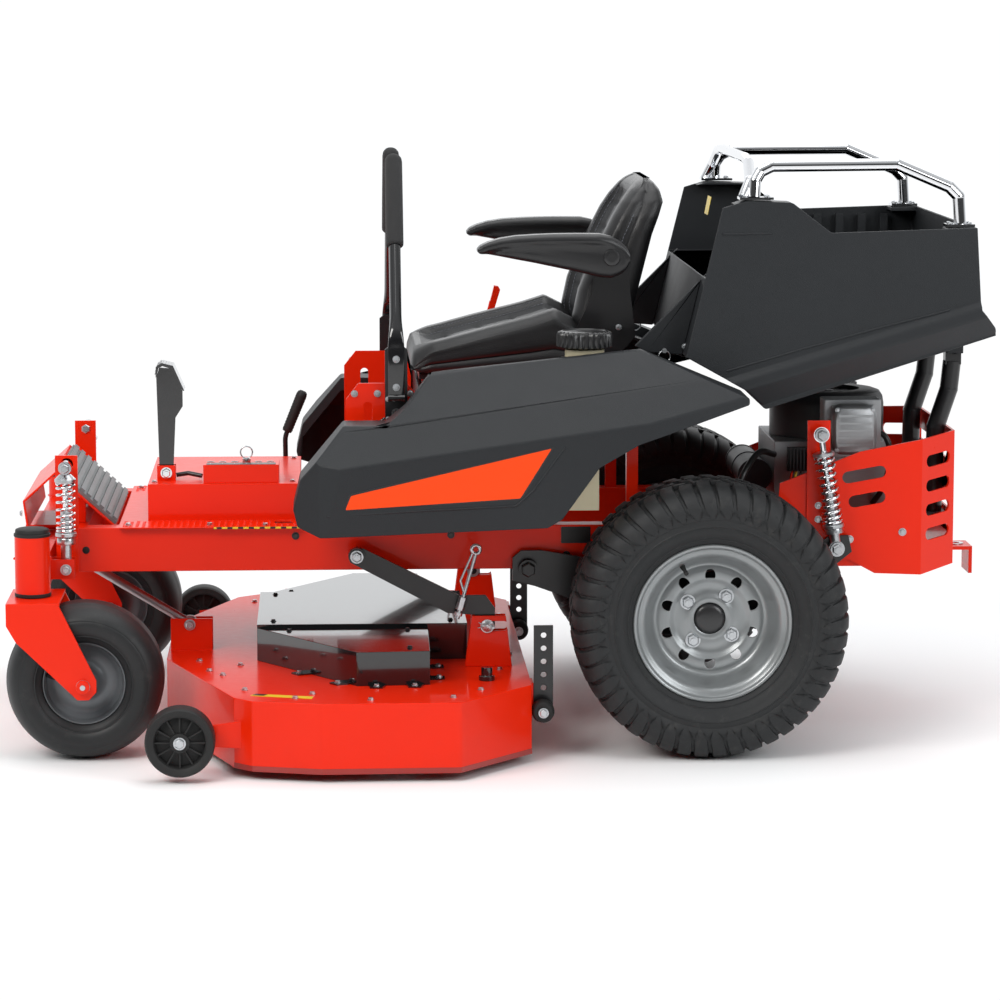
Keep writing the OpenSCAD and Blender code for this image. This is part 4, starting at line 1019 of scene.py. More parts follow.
def seat_cushion():
    rows = []
    count = 64
    for i in range(count + 1):
        x = -0.203 + (0.220 + 0.203) * i / count
        top_y = [HALF * math.sin(math.pi / 2 * (-1 + 2 * k / 70)) for k in range(71)]
        low = curve([(-0.203, 0.797), (-0.196, 0.786), (-0.180, 0.779), (0.222, 0.779)], x)
        pull = 0.006 * math.sin(math.pi * (x + 0.203) / 0.423)
        ring = []
        nose = 0.020 * (1 - ease((x + 0.203) / 0.050))
        for y in top_y:
            side = max(0.0, (abs(y) - 0.15) / (HALF - 0.15))
            z = cushion_height(x, y) - nose * side ** 2
            ring.append((x, y * (1 - nose * 1.6), z))
        side_top = cushion_height(x, HALF) - nose
        for t in (0.12, 0.25, 0.40, 0.52, 0.55, 0.58, 0.75, 0.9):
            groove = 0.004 if 0.52 < t < 0.58 else 0.0
            bulge = pull * math.sin(math.pi * t) + 0.004 * math.sin(math.pi * t)
            ring.append((x, (HALF - groove + bulge * 0.5 - 0.002) * (1 - nose * 1.6),
                         side_top + (low - side_top) * t))
        inset = HALF - 0.014
        ring += [(x, inset * (1 - nose * 1.6) - 0.02 * k / 4, low) for k in range(2)]
        ring += [(x, -inset * (1 - nose * 1.6) + 0.02 * (1 - k) / 4, low) for k in range(2)]
        for t in (0.9, 0.75, 0.58, 0.55, 0.52, 0.40, 0.25, 0.12):
            groove = 0.004 if 0.52 < t < 0.58 else 0.0
            bulge = pull * math.sin(math.pi * t) + 0.004 * math.sin(math.pi * t)
            ring.append((x, -(HALF - groove + bulge * 0.5 - 0.002) * (1 - nose * 1.6),
                         side_top + (low - side_top) * t))
        rows.append(ring)
    piece = loft("seat_cushion_cover", rows, None, ["vinyl", "vinyl_panel"], 80)
    for face in piece.data.polygons:
        c = face.center
        if abs(c.y) < SEAM_Y - 0.003 and c.z > curve(CUSHION_TOP, c.x) - 0.055 and c.x > -0.175 \
                and c.z > 0.80:
            face.material_index = 1
    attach(piece, "seat")
    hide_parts("seat_cushion")


# The back leans, so it is drawn along its own line: (distance up, x of the front, x of the rear)
BACK_FRONT = [(0.872, 0.156), (0.900, 0.150), (0.960, 0.163), (1.020, 0.188), (1.080, 0.217),
              (1.120, 0.237), (1.150, 0.256), (1.175, 0.276), (1.190, 0.292), (1.198, 0.305)]
BACK_REAR = [(0.872, 0.262), (0.900, 0.279), (0.960, 0.295), (1.020, 0.310), (1.080, 0.325),
             (1.120, 0.340), (1.150, 0.350), (1.175, 0.344), (1.190, 0.332), (1.198, 0.318)]


def back_half(z):
    if z < 1.09:
        return 0.226
    return curve([(1.09, 0.226), (1.12, 0.222), (1.15, 0.210), (1.175, 0.190), (1.19, 0.165),
                  (1.198, 0.130)], z)


def seat_back():
    rows = []
    count = 60
    for i in range(count + 1):
        z = 0.872 + (1.198 - 0.872) * i / count
        front, rear, half = curve(BACK_FRONT, z), curve(BACK_REAR, z), back_half(z)
        seam = half - 0.072
        ring = []
        for k in range(61):
            y = half * math.sin(math.pi / 2 * (-1 + 2 * k / 60))
            a = abs(y)
            dish = 0.030 * ease((seam + 0.016 - a) / 0.045) * ease((1.185 - z) / 0.04)
            crown = 0.008 * (1 - min(1.0, a / seam) ** 2) * ease((1.18 - z) / 0.05)
            groove = 0.005 * math.exp(-((a - seam) / 0.0042) ** 2)
            channel = 0.0
            if a < seam - 0.008:
                for z0 in (0.945, 1.010, 1.075, 1.130):
                    channel += 0.0048 * math.exp(-((z - z0) / 0.0045) ** 2)
            edge = max(0.0, (a - (half - 0.035)) / 0.035)
            ring.append((front + dish - crown + groove + channel + 0.018 * edge ** 2.2, y, z))
        depth = rear - front
        for t in (0.30, 0.45, 0.50, 0.55, 0.70, 0.85):
            groove = 0.004 if t == 0.50 else 0.0
            ring.append((front + depth * t, half - groove, z))
        ring += [(rear - 0.004, half - 0.014, z), (rear, half * 0.5, z), (rear, 0.0, z),
                 (rear, -half * 0.5, z), (rear - 0.004, -half + 0.014, z)]
        for t in (0.85, 0.70, 0.55, 0.50, 0.45, 0.30):
            groove = 0.004 if t == 0.50 else 0.0
            ring.append((front + depth * t, -half + groove, z))
        rows.append(ring)
    piece = loft("seat_back_cover", rows, None, ["vinyl", "vinyl_panel"], 80)
    for face in piece.data.polygons:
        c = face.center
        if abs(c.y) < back_half(c.z) - 0.075 and c.x < curve(BACK_REAR, c.z) - 0.06 \
                and c.z < 1.165:
            face.material_index = 1
    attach(piece, "seat")
    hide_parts("seat_back")


seat_cushion()
seat_back()


def back_dish(a, z, seam):
    """How far the middle of the back lies behind its bolsters."""
    return 0.030 * ease((seam + 0.016 - a) / 0.045) * ease((1.185 - z) / 0.04)


def add_stitches(bm, pts):
    """Dashes of thread along a row of points."""
    pts = [Vector(p) for p in pts]
    for a, b in zip(pts, pts[1:]):
        add_cylinder(bm, a, a + (b - a) * 0.66, 0.0006, 6)


STITCH = 0.0078
bm = bmesh.new()
for sign in (-1, 1):
    for off in (-0.0065, 0.0065):
        add_stitches(bm, [(x, sign * (SEAM_Y + off), cushion_height(x, SEAM_Y + off) + 0.0003)
                          for x in [-0.150 + STITCH * i for i in range(34)]])
    for off in (-0.006, 0.006):
        pts = []
        for z in [0.885 + STITCH * i for i in range(38)]:
            seam = back_half(z) - 0.072
            dish = back_dish(seam + off, z, seam)
            pts.append((curve(BACK_FRONT, z) + dish + 0.0003, sign * (seam + off), z))
        add_stitches(bm, pts)
    # piping seam down the side of the back
    add_stitches(bm, [(curve(BACK_FRONT, z) * 0.60 + curve(BACK_REAR, z) * 0.40,
                       sign * (back_half(z) + 0.0002), z) for z in [0.90 + STITCH * i for i in range(30)]])
piece_from("seat_stitching", bm, "seat", "thread", 40)

# pan under the cushion, bracket plates of the back and the pivot caps
bm = bmesh.new()
add_box(bm, (-0.185, -0.205, 0.7655), (0.222, 0.205, 0.7785))
for sign in (-1, 1):
    add_sheet(bm, [(0.150, 0.790), (0.222, 0.790), (0.285, 0.860), (0.262, 1.045), (0.242, 1.064),
                   (0.212, 1.064), (0.196, 1.045), (0.190, 0.950), (0.158, 0.880)], 0.004,
              Matrix(((1, 0, 0, 0), (0, 0, sign, sign * 0.2262),
                      (0, 1, 0, 0), (0, 0, 0, 1))))
piece_from("seat_frame_plates", bm, "seat", "black", 30)
bm = bmesh.new()
ARM_PIVOT_X, ARM_PIVOT_Z = 0.226, 1.037
for sign in (-1, 1):
    add_lathe(bm, [(0.0, 0.0330), (0.006, 0.0330), (0.0215, 0.0320), (0.0225, 0.0300),
                   (0.0225, 0.0), (0.0, 0.0)], (ARM_PIVOT_X, sign * 0.230, ARM_PIVOT_Z), (0, sign, 0), 40)
    add_cylinder(bm, (ARM_PIVOT_X, sign * 0.24, ARM_PIVOT_Z),
                 (ARM_PIVOT_X, sign * 0.319, ARM_PIVOT_Z), 0.0098, 32)
piece_from("armrest_pivots", bm, "seat", "cap", 35)
bolts("seat_frame_bolts", "seat", [((0.248, s * 0.2305, 0.880), (0, s, 0), 0.0065) for s in (-1, 1)]
      + [((0.178, s * 0.2305, 0.812), (0, s, 0), 0.0065) for s in (-1, 1)], "zinc")


def armrest(side, sign, tag):
    """Rolled pad on a deep moulded arm, rounded all round."""
    line = [(-0.062, 1.0500, 1.0560), (-0.056, 1.0445, 1.0640), (-0.040, 1.0445, 1.0715),
            (-0.015, 1.0400, 1.0790), (0.020, 1.0330, 1.0845), (0.060, 1.0255, 1.0870),
            (0.100, 1.0170, 1.0885), (0.150, 1.0065, 1.0890), (0.200, 0.9945, 1.0885),
            (0.225, 0.9920, 1.0830), (0.245, 0.9990, 1.0720), (0.258, 1.0100, 1.0600),
            (0.2655, 1.0260, 1.0440)]
    xs = [p[0] for p in line]
    rows = []
    for i in range(73):
        x = xs[0] + (xs[-1] - xs[0]) * i / 72
        low = curve([(p[0], p[1]) for p in line], x)
        high = curve([(p[0], p[2]) for p in line], x)
        mid, half_z = (low + high) / 2, (high - low) / 2
        pad = 0.0265 if x < 0.19 else 0.0265 - 0.0075 * ease((x - 0.19) / 0.06)
        ring = []
        for a in turns(40):
            sy, sz = squarish(a, 0.55)
            z = mid + sz * half_z
            from_top = high - z
            width = 0.0190 + (pad - 0.0190) * ease((0.026 - from_top) / 0.010)
            groove = 0.0016 * math.exp(-((from_top - 0.030) / 0.0025) ** 2)
            ring.append((x, sign * 0.296 + sy * (width - groove), z))
        rows.append(ring)
    piece = loft("armrest_skin_" + side, rows, "arm_" + tag, "arm", 60)
    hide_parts("armrest_" + side)
    bm = bmesh.new()
    add_lathe(bm, [(0.0, 0.0035), (0.012, 0.0033), (0.0165, 0.0022), (0.018, 0.0), (0.0, 0.0)],
              (ARM_PIVOT_X, sign * 0.3152, ARM_PIVOT_Z), (0, sign, 0), 40)
    piece_from("armrest_cap_" + side, bm, "arm_" + tag, "cap", 40)


for side, sign, tag in SIDES:
    armrest(side, sign, tag)


# ---------------------------------------------------------------- controls

LEVER_X = -0.238
for side, sign, tag in SIDES:
    foot = Vector((LEVER_X, sign * 0.383, 0.868))
    tip = Vector((LEVER_X, sign * 0.150, 1.246))
    lean = (tip - foot).normalized()
    bm = bmesh.new()
    # foam sleeve with a rolled rim, domed at its end
    start, end = foot + lean * 0.226, tip - lean * 0.014
    length = (end - start).length
    add_lathe(bm, [(0.0128, 0.0), (0.0170, 0.0), (0.0188, 0.0022), (0.0192, 0.006),
                   (0.0192, length * 0.5), (0.0190, length), (0.0176, length + 0.0085),
                   (0.0140, length + 0.0140), (0.0080, length + 0.0178), (0.0, length + 0.0188)],
              start, lean, 40)
    piece_from("lever_grip_" + side, bm, "lever_" + tag, "foam", 50)
    bm = bmesh.new()
    path = [(LEVER_X, sign * 0.383, 0.750), (LEVER_X, sign * 0.383, 0.840),
            tuple(foot + lean * 0.012), tuple(foot + lean * 0.06), tuple(start + lean * 0.01)]
    # tube that is pressed flat towards its foot
    pts = bezier_path(path, 8)
    rings = []
    for i, p in enumerate(pts):
        nxt, prv = pts[min(i + 1, len(pts) - 1)], pts[max(i - 1, 0)]
        tangent = (nxt - prv).normalized()
        across = Vector((1, 0, 0))
        third = tangent.cross(across).normalized()
        flat = ease((p.z - 0.845) / 0.075)
        wide, thin = 0.0176 - 0.0049 * flat, 0.0034 + 0.0093 * flat
        edge = [squarish(a, 0.35 + 0.65 * flat) for a in turns(28)]
        rings.append([p + across * u * wide + third * v * thin for u, v in edge])
    add_rings(bm, rings)
    add_cylinder(bm, (-0.256, sign * 0.387, 0.745), (-0.220, sign * 0.387, 0.745), 0.0074, 24)
    tube = piece_from("lever_tube_" + side, bm, "lever_" + tag, "gloss_black", 45)
    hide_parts("control_lever_" + side)
    bolts("lever_bolts_" + side, "lever_" + tag,
          [((LEVER_X, sign * 0.3864, z), (0, sign, 0), 0.0072, 0.002) for z in (0.828, 0.768)])
    bolts("lever_base_bolts_" + side, "lever_pivot_" + tag,
          [((-0.256, sign * 0.3790, z), (0, sign, 0), 0.0052) for z in (0.742, 0.700)])
    bm = bmesh.new()
    add_cylinder(bm, (LEVER_X, sign * 0.3792, 0.712), (LEVER_X, sign * 0.3930, 0.712), 0.0100, 28)
    piece_from("lever_pivot_end_" + side, bm, "chassis", "zinc", 40)
    bolts("lever_bracket_bolts_" + side, "chassis",
          [((x, sign * 0.3580, z), (0, sign, 0), 0.0070, 0.0015)
           for x, z in ((-0.327, 0.752), (-0.278, 0.752), (-0.208, 0.752), (-0.327, 0.600))])
    # return damper from the bracket to the lever's base
    bm = bmesh.new()
    add_cylinder(bm, (-0.320, sign * 0.3660, 0.660), (-0.276, sign * 0.3660, 0.690), 0.0075, 20)
    add_cylinder(bm, (-0.276, sign * 0.3660, 0.690), (-0.262, sign * 0.3660, 0.700), 0.0030, 12)
    add_cylinder(bm, (-0.322, sign * 0.3575, 0.660), (-0.322, sign * 0.3745, 0.660), 0.0055, 16)
    piece_from("lever_damper_" + side, bm, "chassis", "black", 40)

# hand lever: rod with a dimpled plastic grip
bm = bmesh.new()
add_tube(bm, filleted([(-0.481, 0.265, 0.497), (-0.482, 0.265, 0.585), (-0.4425, 0.265, 0.682)], 0.05),
         0.0058, 14)
add_lathe(bm, [(0.0, -0.0078), (0.0118, -0.0078), (0.0118, 0.0078), (0.0, 0.0078)],
          (-0.481, 0.265, 0.495), (0, 1, 0), 28)
rod = piece_from("hand_lever_rod", bm, "hand_lever_body", "black", 45)
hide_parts("hand_lever")
bm = bmesh.new()
low, high = Vector((-0.4785, 0.265, 0.596)), Vector((-0.4395, 0.265, 0.691))
profile = [(0.0062, 0.0), (0.0104, 0.001)]
for k in range(12):
    t = k / 12
    profile += [(0.0112 + 0.0012 * t, 0.004 + 0.0072 * k), (0.0122 + 0.0006 * t, 0.0070 + 0.0072 * k)]
profile += [(0.0122, 0.0930), (0.0108, 0.0985), (0.0070, 0.1020), (0.0, 0.1028)]
add_lathe(bm, profile, low, high - low, 24)
piece_from("hand_lever_grip", bm, "hand_lever_body", "rubber", 55)

# deck pedal: cut flat bar, serrated foot plate, pivot bolt and link
softened("deck_pedal", 0.0012, "gloss_black")
bm = bmesh.new()
tread = [Vector((-0.7575, -0.160, 0.775)), Vector((-0.7545, -0.160, 0.795)),
         Vector((-0.7440, -0.160, 0.803)), Vector((-0.7210, -0.160, 0.7965)),
         Vector((-0.7080, -0.160, 0.769)), Vector((-0.6960, -0.160, 0.7435))]
for a, b in zip(tread, tread[1:]):
    span = b - a
    out = Vector((0, 1, 0)).cross(span).normalized()
    if out.z < 0 and out.x < 0.5:
        out = -out
    count = max(1, int(span.length / 0.0055))
    for i in range(count):
        p = a + span * ((i + 0.5) / count)
        tooth = [p + Vector((0, -0.0335, 0)) + d
                 for d in (-span.normalized() * 0.0019 - out * 0.0018, out * 0.0010,
                           span.normalized() * 0.0019 - out * 0.0018)]
        add_prism(bm, tooth, Vector((0, 0.067, 0)))
piece_from("pedal_teeth", bm, "pedal", "steel", 20)
bolts("pedal_bolt", "chassis", [((-0.737, -0.1760, 0.560), (0, -1, 0), 0.0115, 0.003),
                                ((-0.737, -0.1440, 0.560), (0, 1, 0), 0.0115)], "chrome")
bm = bmesh.new()
add_tube(bm, filleted([(-0.716, -0.150, 0.552), (-0.690, -0.150, 0.556), (-0.660, -0.160, 0.551)],
                      0.01), 0.0050, 12)
piece_from("pedal_link", bm, "chassis", "black", 45)

# height stop box: plate with a row of holes and blank marks, ring pin
bm = bmesh.new()
add_sheet(bm, [(-0.648, -0.221), (-0.498, -0.221), (-0.498, -0.190), (-0.648, -0.190)], 0.0005,
          Matrix.Translation((0, 0, 0.5832)))
piece_from("height_plate", bm, "chassis", "decal_dark", 30)
bm = bmesh.new()
for i in range(6):
    x = -0.640 + 0.026 * i
    add_lathe(bm, [(0.0052, 0.0), (0.0082, 0.0), (0.0082, 0.0009), (0.0052, 0.0009), (0.0052, 0.0)],
              (x, -0.172, 0.5831), (0, 0, 1), 24)
    add_box(bm, (x - 0.0008, -0.212, 0.5836), (x + 0.0008, -0.197, 0.5841))
piece_from("height_marks", bm, "chassis", "decal_silver", 30)
bm = bmesh.new()
add_loop(bm, (-0.562, -0.172, 0.604), 0.013, 0.0016)
piece_from("height_pin_ring", bm, "height_pin_body", "zinc", 50)


# ---------------------------------------------------------------- floor, foot rest and front end

bm = bmesh.new()
for sign in (-1, 1):
    for i in range(28):
        for j in range(6):
            x = -0.822 + 0.0135 * i
            y = 0.246 + 0.0150 * j + (0.0075 if i % 2 else 0)
            if (x > -0.508 and x < -0.454 and y < 0.289) or y > 0.330:
                continue
            add_lathe(bm, [(0.0, 0.0012), (0.0026, 0.0010), (0.0038, 0.0004), (0.0042, -0.0003)],
                      (x, sign * y, 0.4631), (0, 0, 1), 10)
piece_from("floor_tread", bm, "chassis", "red", 60)
bm = bmesh.new()
for sign in (-1, 1):
    add_box(bm, (-0.630, sign * 0.3355 - 0.0004, 0.4588), (-0.446, sign * 0.3355 + 0.0004, 0.4630))
piece_from("floor_side_stripe", bm, "chassis", "decal_yellow", 30)
bm = bmesh.new()
for sign in (-1, 1):
    for k in range(8):
        x = -0.624 + 0.0230 * k
        add_box(bm, (x, sign * 0.3361 - 0.0003, 0.4588), (x + 0.011, sign * 0.3361 + 0.0003, 0.4630))
piece_from("floor_side_marks", bm, "chassis", "decal_dark", 30)
bolts("floor_bolts", "chassis",
      [((x, s * y, 0.4630), (0, 0, 1), 0.0070) for s in (-1, 1) for x, y in
       ((-0.815, 0.300), (-0.640, 0.300), (-0.520, 0.310))]
      + [((x, s * 0.200, 0.5430), (0, 0, 1), 0.0060) for s in (-1, 1) for x in (-0.762, -0.462)])
bolts("guard_bolts", "chassis",
      [((-0.9135, s * 0.175, 0.490), (1, 0, 0), 0.0065) for s in (-1, 1)]
      + [((-1.0480, s * 0.225, 0.480), (-1, 0, 0), 0.0065) for s in (-1, 1)])
KINGPIN_X, KINGPIN_Y = -1.006, 0.490
for side, sign, tag in SIDES:
    # barrel: rubber caps at both ends, the kingpin's cap and a weld bead
    bm = bmesh.new()
    add_lathe(bm, [(0.0372, -0.0060), (0.0384, -0.0045), (0.0384, 0.0), (0.0372, 0.0010),
                   (0.0250, 0.0012), (0.0250, -0.0060)], (KINGPIN_X, sign * KINGPIN_Y, 0.4750), (0, 0, 1), 48)
    add_lathe(bm, [(0.0372, 0.0), (0.0382, 0.0005), (0.0382, 0.0070), (0.0372, 0.0078)],
              (KINGPIN_X, sign * KINGPIN_Y, 0.3421), (0, 0, 1), 48)
    piece_from("barrel_bearing_caps_" + side, bm, "front_arm_" + tag, "rubber", 40)
    bm = bmesh.new()
    add_lathe(bm, [(0.0, 0.0105), (0.0300, 0.0104), (0.0345, 0.0085), (0.0355, 0.0050),
                   (0.0355, 0.0008), (0.0, 0.0008)], (KINGPIN_X, sign * KINGPIN_Y, 0.4757), (0, 0, 1), 48)
    piece_from("kingpin_cap_" + side, bm, "caster_" + tag, "rubber", 40)
    bolts("caster_axle_bolts_" + side, "caster_" + tag,
          [((-0.898, sign * (KINGPIN_Y + 0.0985), 0.165), (0, sign, 0), 0.0135, 0.004),
           ((-0.898, sign * (KINGPIN_Y - 0.0985), 0.165), (0, -sign, 0), 0.0135)])
    bm = bmesh.new()
    ring = [(KINGPIN_X + 0.0378 * math.cos(math.radians(a)),
             sign * (KINGPIN_Y - 0.0378 * math.sin(math.radians(a))), 0.4222 if 0 < a < 180 else 0.4215)
            for a in range(180, -1, -30)]
    add_tube(bm, bezier_path(ring, 5), lambda t: 0.0028 + 0.0006 * math.sin(t * 190), 8)
    piece_from("barrel_weld_" + side, bm, "front_arm_" + tag, "red", 60)
bolts("arm_pivot_bolts", "chassis",
      [((-1.0515, y, 0.387), (-1, 0, 0), 0.0105) for y in (0.070, -0.070)])
RAIL_FACE = 0.3180
# round hole plugs and rail bolts seen on the side rails
for side, sign, tag in SIDES:
    bm = bmesh.new()
    add_lathe(bm, [(0.0, 0.0006), (0.0070, 0.0006), (0.0080, 0.0), (0.0, 0.0)],
              (-0.905, sign * RAIL_FACE, 0.4120), (0, sign, 0), 28)
    piece_from("rail_plug_" + side, bm, "chassis", "rubber", 40)
    bolts("rail_bolts_" + side, "chassis",
          [((x, sign * RAIL_FACE, z), (0, sign, 0), 0.0075, 0.0) for x, z in
           ((-0.455, 0.440), (-0.120, 0.440), (0.130, 0.395), (0.350, 0.440), (0.560, 0.440))],
          "black")


# ---------------------------------------------------------------- cutting deck

# anti-scalp wheels: ribbed hubs with a bolt through the middle
for side, sign, tag in SIDES:
    at = Vector((-0.690, sign * 0.770, 0.085))
    bm = bmesh.new()
    add_lathe(bm, [(0.0090, -0.026), (0.0200, -0.026), (0.0215, -0.014), (0.0500, -0.0095),
                   (0.0530, -0.024), (0.0550, -0.026), (0.0680, -0.0295), (0.0705, -0.0265),
                   (0.0718, -0.0200), (0.0720, 0.0), (0.0718, 0.0200), (0.0705, 0.0265),
                   (0.0680, 0.0295), (0.0550, 0.026), (0.0530, 0.024), (0.0500, 0.0095),
                   (0.0215, 0.014), (0.0200, 0.026), (0.0090, 0.026), (0.0090, -0.026)],
              at, (0, sign, 0), 72)
    for k in range(12):
        a = math.radians(30 * k)
        p = at + Vector((0.0365 * math.cos(a), 0, 0.0365 * math.sin(a)))
        turn = Matrix.Translation(p) @ Matrix.Rotation(-a, 4, "Y")
        bmesh.ops.create_cube(bm, size=1.0, matrix=turn @ Matrix.Diagonal((0.0340, 0.0400, 0.0032, 1)))
    wheel = piece_from("antiscalp_wheel_" + side, bm, "antiscalp", "rubber", 38)
    if sign < 0:
        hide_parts("antiscalp_wheels")
    bolts("antiscalp_bolt_" + side, "deck",
          [((at[0], sign * 0.7965, at[2]), (0, sign, 0), 0.0120, 0.0)])

DECK_TOP = 0.1650
SPINDLES = ((-0.255, -0.540), (-0.385, -0.085), (-0.255, 0.370))
hardware = []
for x, y in ((-0.665, -0.300), (-0.610, -0.470), (-0.560, -0.640), (-0.455, -0.735), (-0.300, -0.760),
             (-0.130, -0.740), (-0.020, -0.430), (0.010, -0.250), (0.010, 0.250), (-0.660, 0.120),
             (-0.560, 0.470), (-0.420, -0.690), (-0.640, -0.420), (-0.575, -0.355), (-0.070, -0.660)):
    hardware.append(((x, y, DECK_TOP), (0, 0, 1), 0.0068))
for y in (-0.238, -0.212, 0.040, 0.085):
    hardware += [((x, y, DECK_TOP + 0.003), (0, 0, 1), 0.0070) for x in (-0.512, -0.098)]
bolts("deck_bolts", "deck", hardware)
bolts("cover_bolts", "deck",
      [((x, y, 0.237), (0, 0, 1), 0.0060) for x, y in
       ((-0.470, -0.345), (-0.215, -0.560), (-0.215, -0.345), (-0.470, 0.175), (-0.215, 0.390))]
      + [((x, y, 0.244), (0, 0, 1), 0.0060) for x in (-0.505, -0.120) for y in (-0.262, 0.092)],
      "black")
# bolted tabs of the left and right covers
bm = bmesh.new()
tabs = []
for mirror in (0, 1):
    for x, y, ax, ay in ((-0.433, -0.457, -0.82, -0.57), (-0.352, -0.573, -0.82, -0.57),
                         (-0.285, -0.608, -0.07, -1.0), (-0.205, -0.603, -0.07, -1.0),
                         (-0.171, -0.530, 1.0, 0.0), (-0.169, -0.400, 1.0, 0.0)):
        if mirror:
            y, ay = -0.170 - y, -ay
        out = Vector((ax, ay, 0)).normalized()
        along_it = Vector((-out.y, out.x, 0))
        p = Vector((x, y, DECK_TOP + 0.0002))
        corners = [p - along_it * 0.019 - out * 0.002, p + along_it * 0.019 - out * 0.002,
                   p + along_it * 0.013 + out * 0.030, p - along_it * 0.013 + out * 0.030]
        add_prism(bm, corners, Vector((0, 0, 0.003)))
        tabs.append((p + out * 0.018 + Vector((0, 0, 0.003)), (0, 0, 1), 0.0066))
piece_from("cover_tabs", bm, "deck", "gloss_black", 30)
bolts("cover_tab_bolts", "deck", tabs)
# blank yellow and dark marks on the deck's front corner
panel("deck_mark_yellow", [(-0.548, -0.704, DECK_TOP + 0.0001), (-0.421, -0.744, DECK_TOP + 0.0001),
                           (-0.417, -0.720, DECK_TOP + 0.0001), (-0.538, -0.684, DECK_TOP + 0.0001)],
      0.0006, "deck", "decal_yellow", round_by=0.003)
panel("deck_mark_dark", [(-0.544, -0.700, DECK_TOP + 0.0006), (-0.520, -0.7075, DECK_TOP + 0.0006),
                         (-0.512, -0.6925, DECK_TOP + 0.0006), (-0.536, -0.6850, DECK_TOP + 0.0006)],
      0.0004, "deck", "decal_dark")

# painted shade: a darker red strip low on the left edge, along the foot of the deck's skirt
bm = bmesh.new()
edge = [(-0.581, -0.723), (-0.543, -0.762), (-0.400, -0.800), (-0.116, -0.795), (0.039, -0.612)]
for (x0, y0), (x1, y1) in zip(edge, edge[1:]):
    a, b = Vector((x0, y0, 0.0185)), Vector((x1, y1, 0.0185))
    out = Vector((y1 - y0, x0 - x1, 0)).normalized()
    add_prism(bm, [a - out * 0.001, a + out * 0.0006, b + out * 0.0006, b - out * 0.001],
              Vector((0, 0, 0.0115)))
piece_from("deck_shade_strip", bm, "deck", "dark_red", 30)

# hangers: clevis pins with washers and hairpins
for side, sign, tag in SIDES:
    bm = bmesh.new()
    for y in (0.3625, 0.3965):
        add_lathe(bm, [(0.0086, 0.0), (0.0145, 0.0), (0.0145, 0.0018), (0.0086, 0.0018)],
                  (-0.045, sign * y, 0.253), (0, sign if y > 0.38 else -sign, 0), 28)
    add_lathe(bm, [(0.0, 0.0040), (0.0075, 0.0038), (0.0120, 0.0020), (0.0125, 0.0), (0.0, 0.0)],
              (-0.045, sign * 0.3985, 0.253), (0, sign, 0), 28)
    piece_from("hanger_pin_" + side, bm, "lift_arms", "zinc", 40)
    bm = bmesh.new()
    y = sign * 0.4015
    add_tube(bm, filleted([(-0.064, y, 0.262), (-0.036, y, 0.246), (-0.028, y, 0.252),
                           (-0.036, y, 0.260), (-0.052, y, 0.252), (-0.066, y, 0.250)], 0.006),
             0.0014, 8)
    piece_from("hanger_hairpin_" + side, bm, "lift_arms", "zinc", 60)
    bolts("lift_arm_nuts_" + side, "chassis",
          [((-0.324, sign * 0.3960, 0.405), (0, sign, 0), 0.0130, 0.002)])
    bolts("swing_arm_nut_" + side, "chassis", [((0.045, sign * 0.3540, 0.369), (0, sign, 0), 0.0190)],
          "black")
    # adjuster: eye at the rail, rod, coupling nut, threaded stud and a bent wire beside it
    bm = bmesh.new()
    yy = sign * 0.4058
    head, foot = Vector((-0.070, yy, 0.412)), Vector((-0.113, yy, 0.262))
    ahead = (foot - head).normalized()
    add_tube(bm, [head, head + ahead * 0.04, head + ahead * 0.09, head + ahead * 0.144], 0.0038, 14)
    add_cylinder(bm, head + ahead * 0.098, head + ahead * 0.126, 0.0095, 6)
    add_cylinder(bm, head + ahead * 0.126, head + ahead * 0.146, 0.0052, 16)
    add_cylinder(bm, head + ahead * 0.132, head + ahead * 0.139, 0.0088, 6)
    add_loop(bm, head + Vector((0, 0, 0.0090)), 0.0090, 0.0040, 24)
    add_tube(bm, filleted([head + Vector((-0.006, 0, 0.004)), head + Vector((-0.033, 0, -0.058)),
                           head + Vector((-0.026, 0, -0.082))], 0.010), 0.0026, 10)
    piece_from("deck_adjuster_" + side, bm, "chassis", "zinc", 50)

# rear roller brackets: bolts and washers
bolts("roller_bolts", "deck",
      [((0.063, y - 0.0525, 0.106), (0, -1, 0), 0.0100) for y in (-0.566, 0.420)])
bm = bmesh.new()
for y in (-0.566, 0.420):
    add_lathe(bm, [(0.0064, -0.0215), (0.0190, -0.0215), (0.0222, -0.0180), (0.0238, -0.010),
                   (0.0240, 0.0), (0.0238, 0.010), (0.0222, 0.0180), (0.0190, 0.0215),
                   (0.0064, 0.0215)], (0.063, y - 0.026, 0.106), (0, 1, 0), 40)
roller = piece_from("rear_roller_skins", bm, "rollers", "rubber", 45)
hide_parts("rear_rollers")

# link from the front cross tube to the deck's front channel
fixed = Vector((-0.936, -0.150, 0.372))
loose = Vector((-0.690, -0.150, 0.222))
bm = bmesh.new()
add_tube(bm, [fixed.lerp(loose, t / 24) for t in range(25)], 0.0098, 16)
for p in (fixed, loose):
    add_lathe(bm, [(0.0085, -0.009), (0.0165, -0.009), (0.0175, -0.007), (0.0175, 0.007),
                   (0.0165, 0.009), (0.0085, 0.009)], p, (0, 1, 0), 28)
rod = piece_from("deck_front_link", bm, None, "steel", 50)
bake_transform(rod)
bm = bmesh.new()
add_cylinder(bm, (loose.x, -0.1720, loose.z), (loose.x, -0.1280, loose.z), 0.0080, 24)
add_bolt(bm, (loose.x, -0.1700, loose.z), (0, -1, 0), 0.0115)
piece_from("front_link_pin", bm, "deck", "zinc", 35)

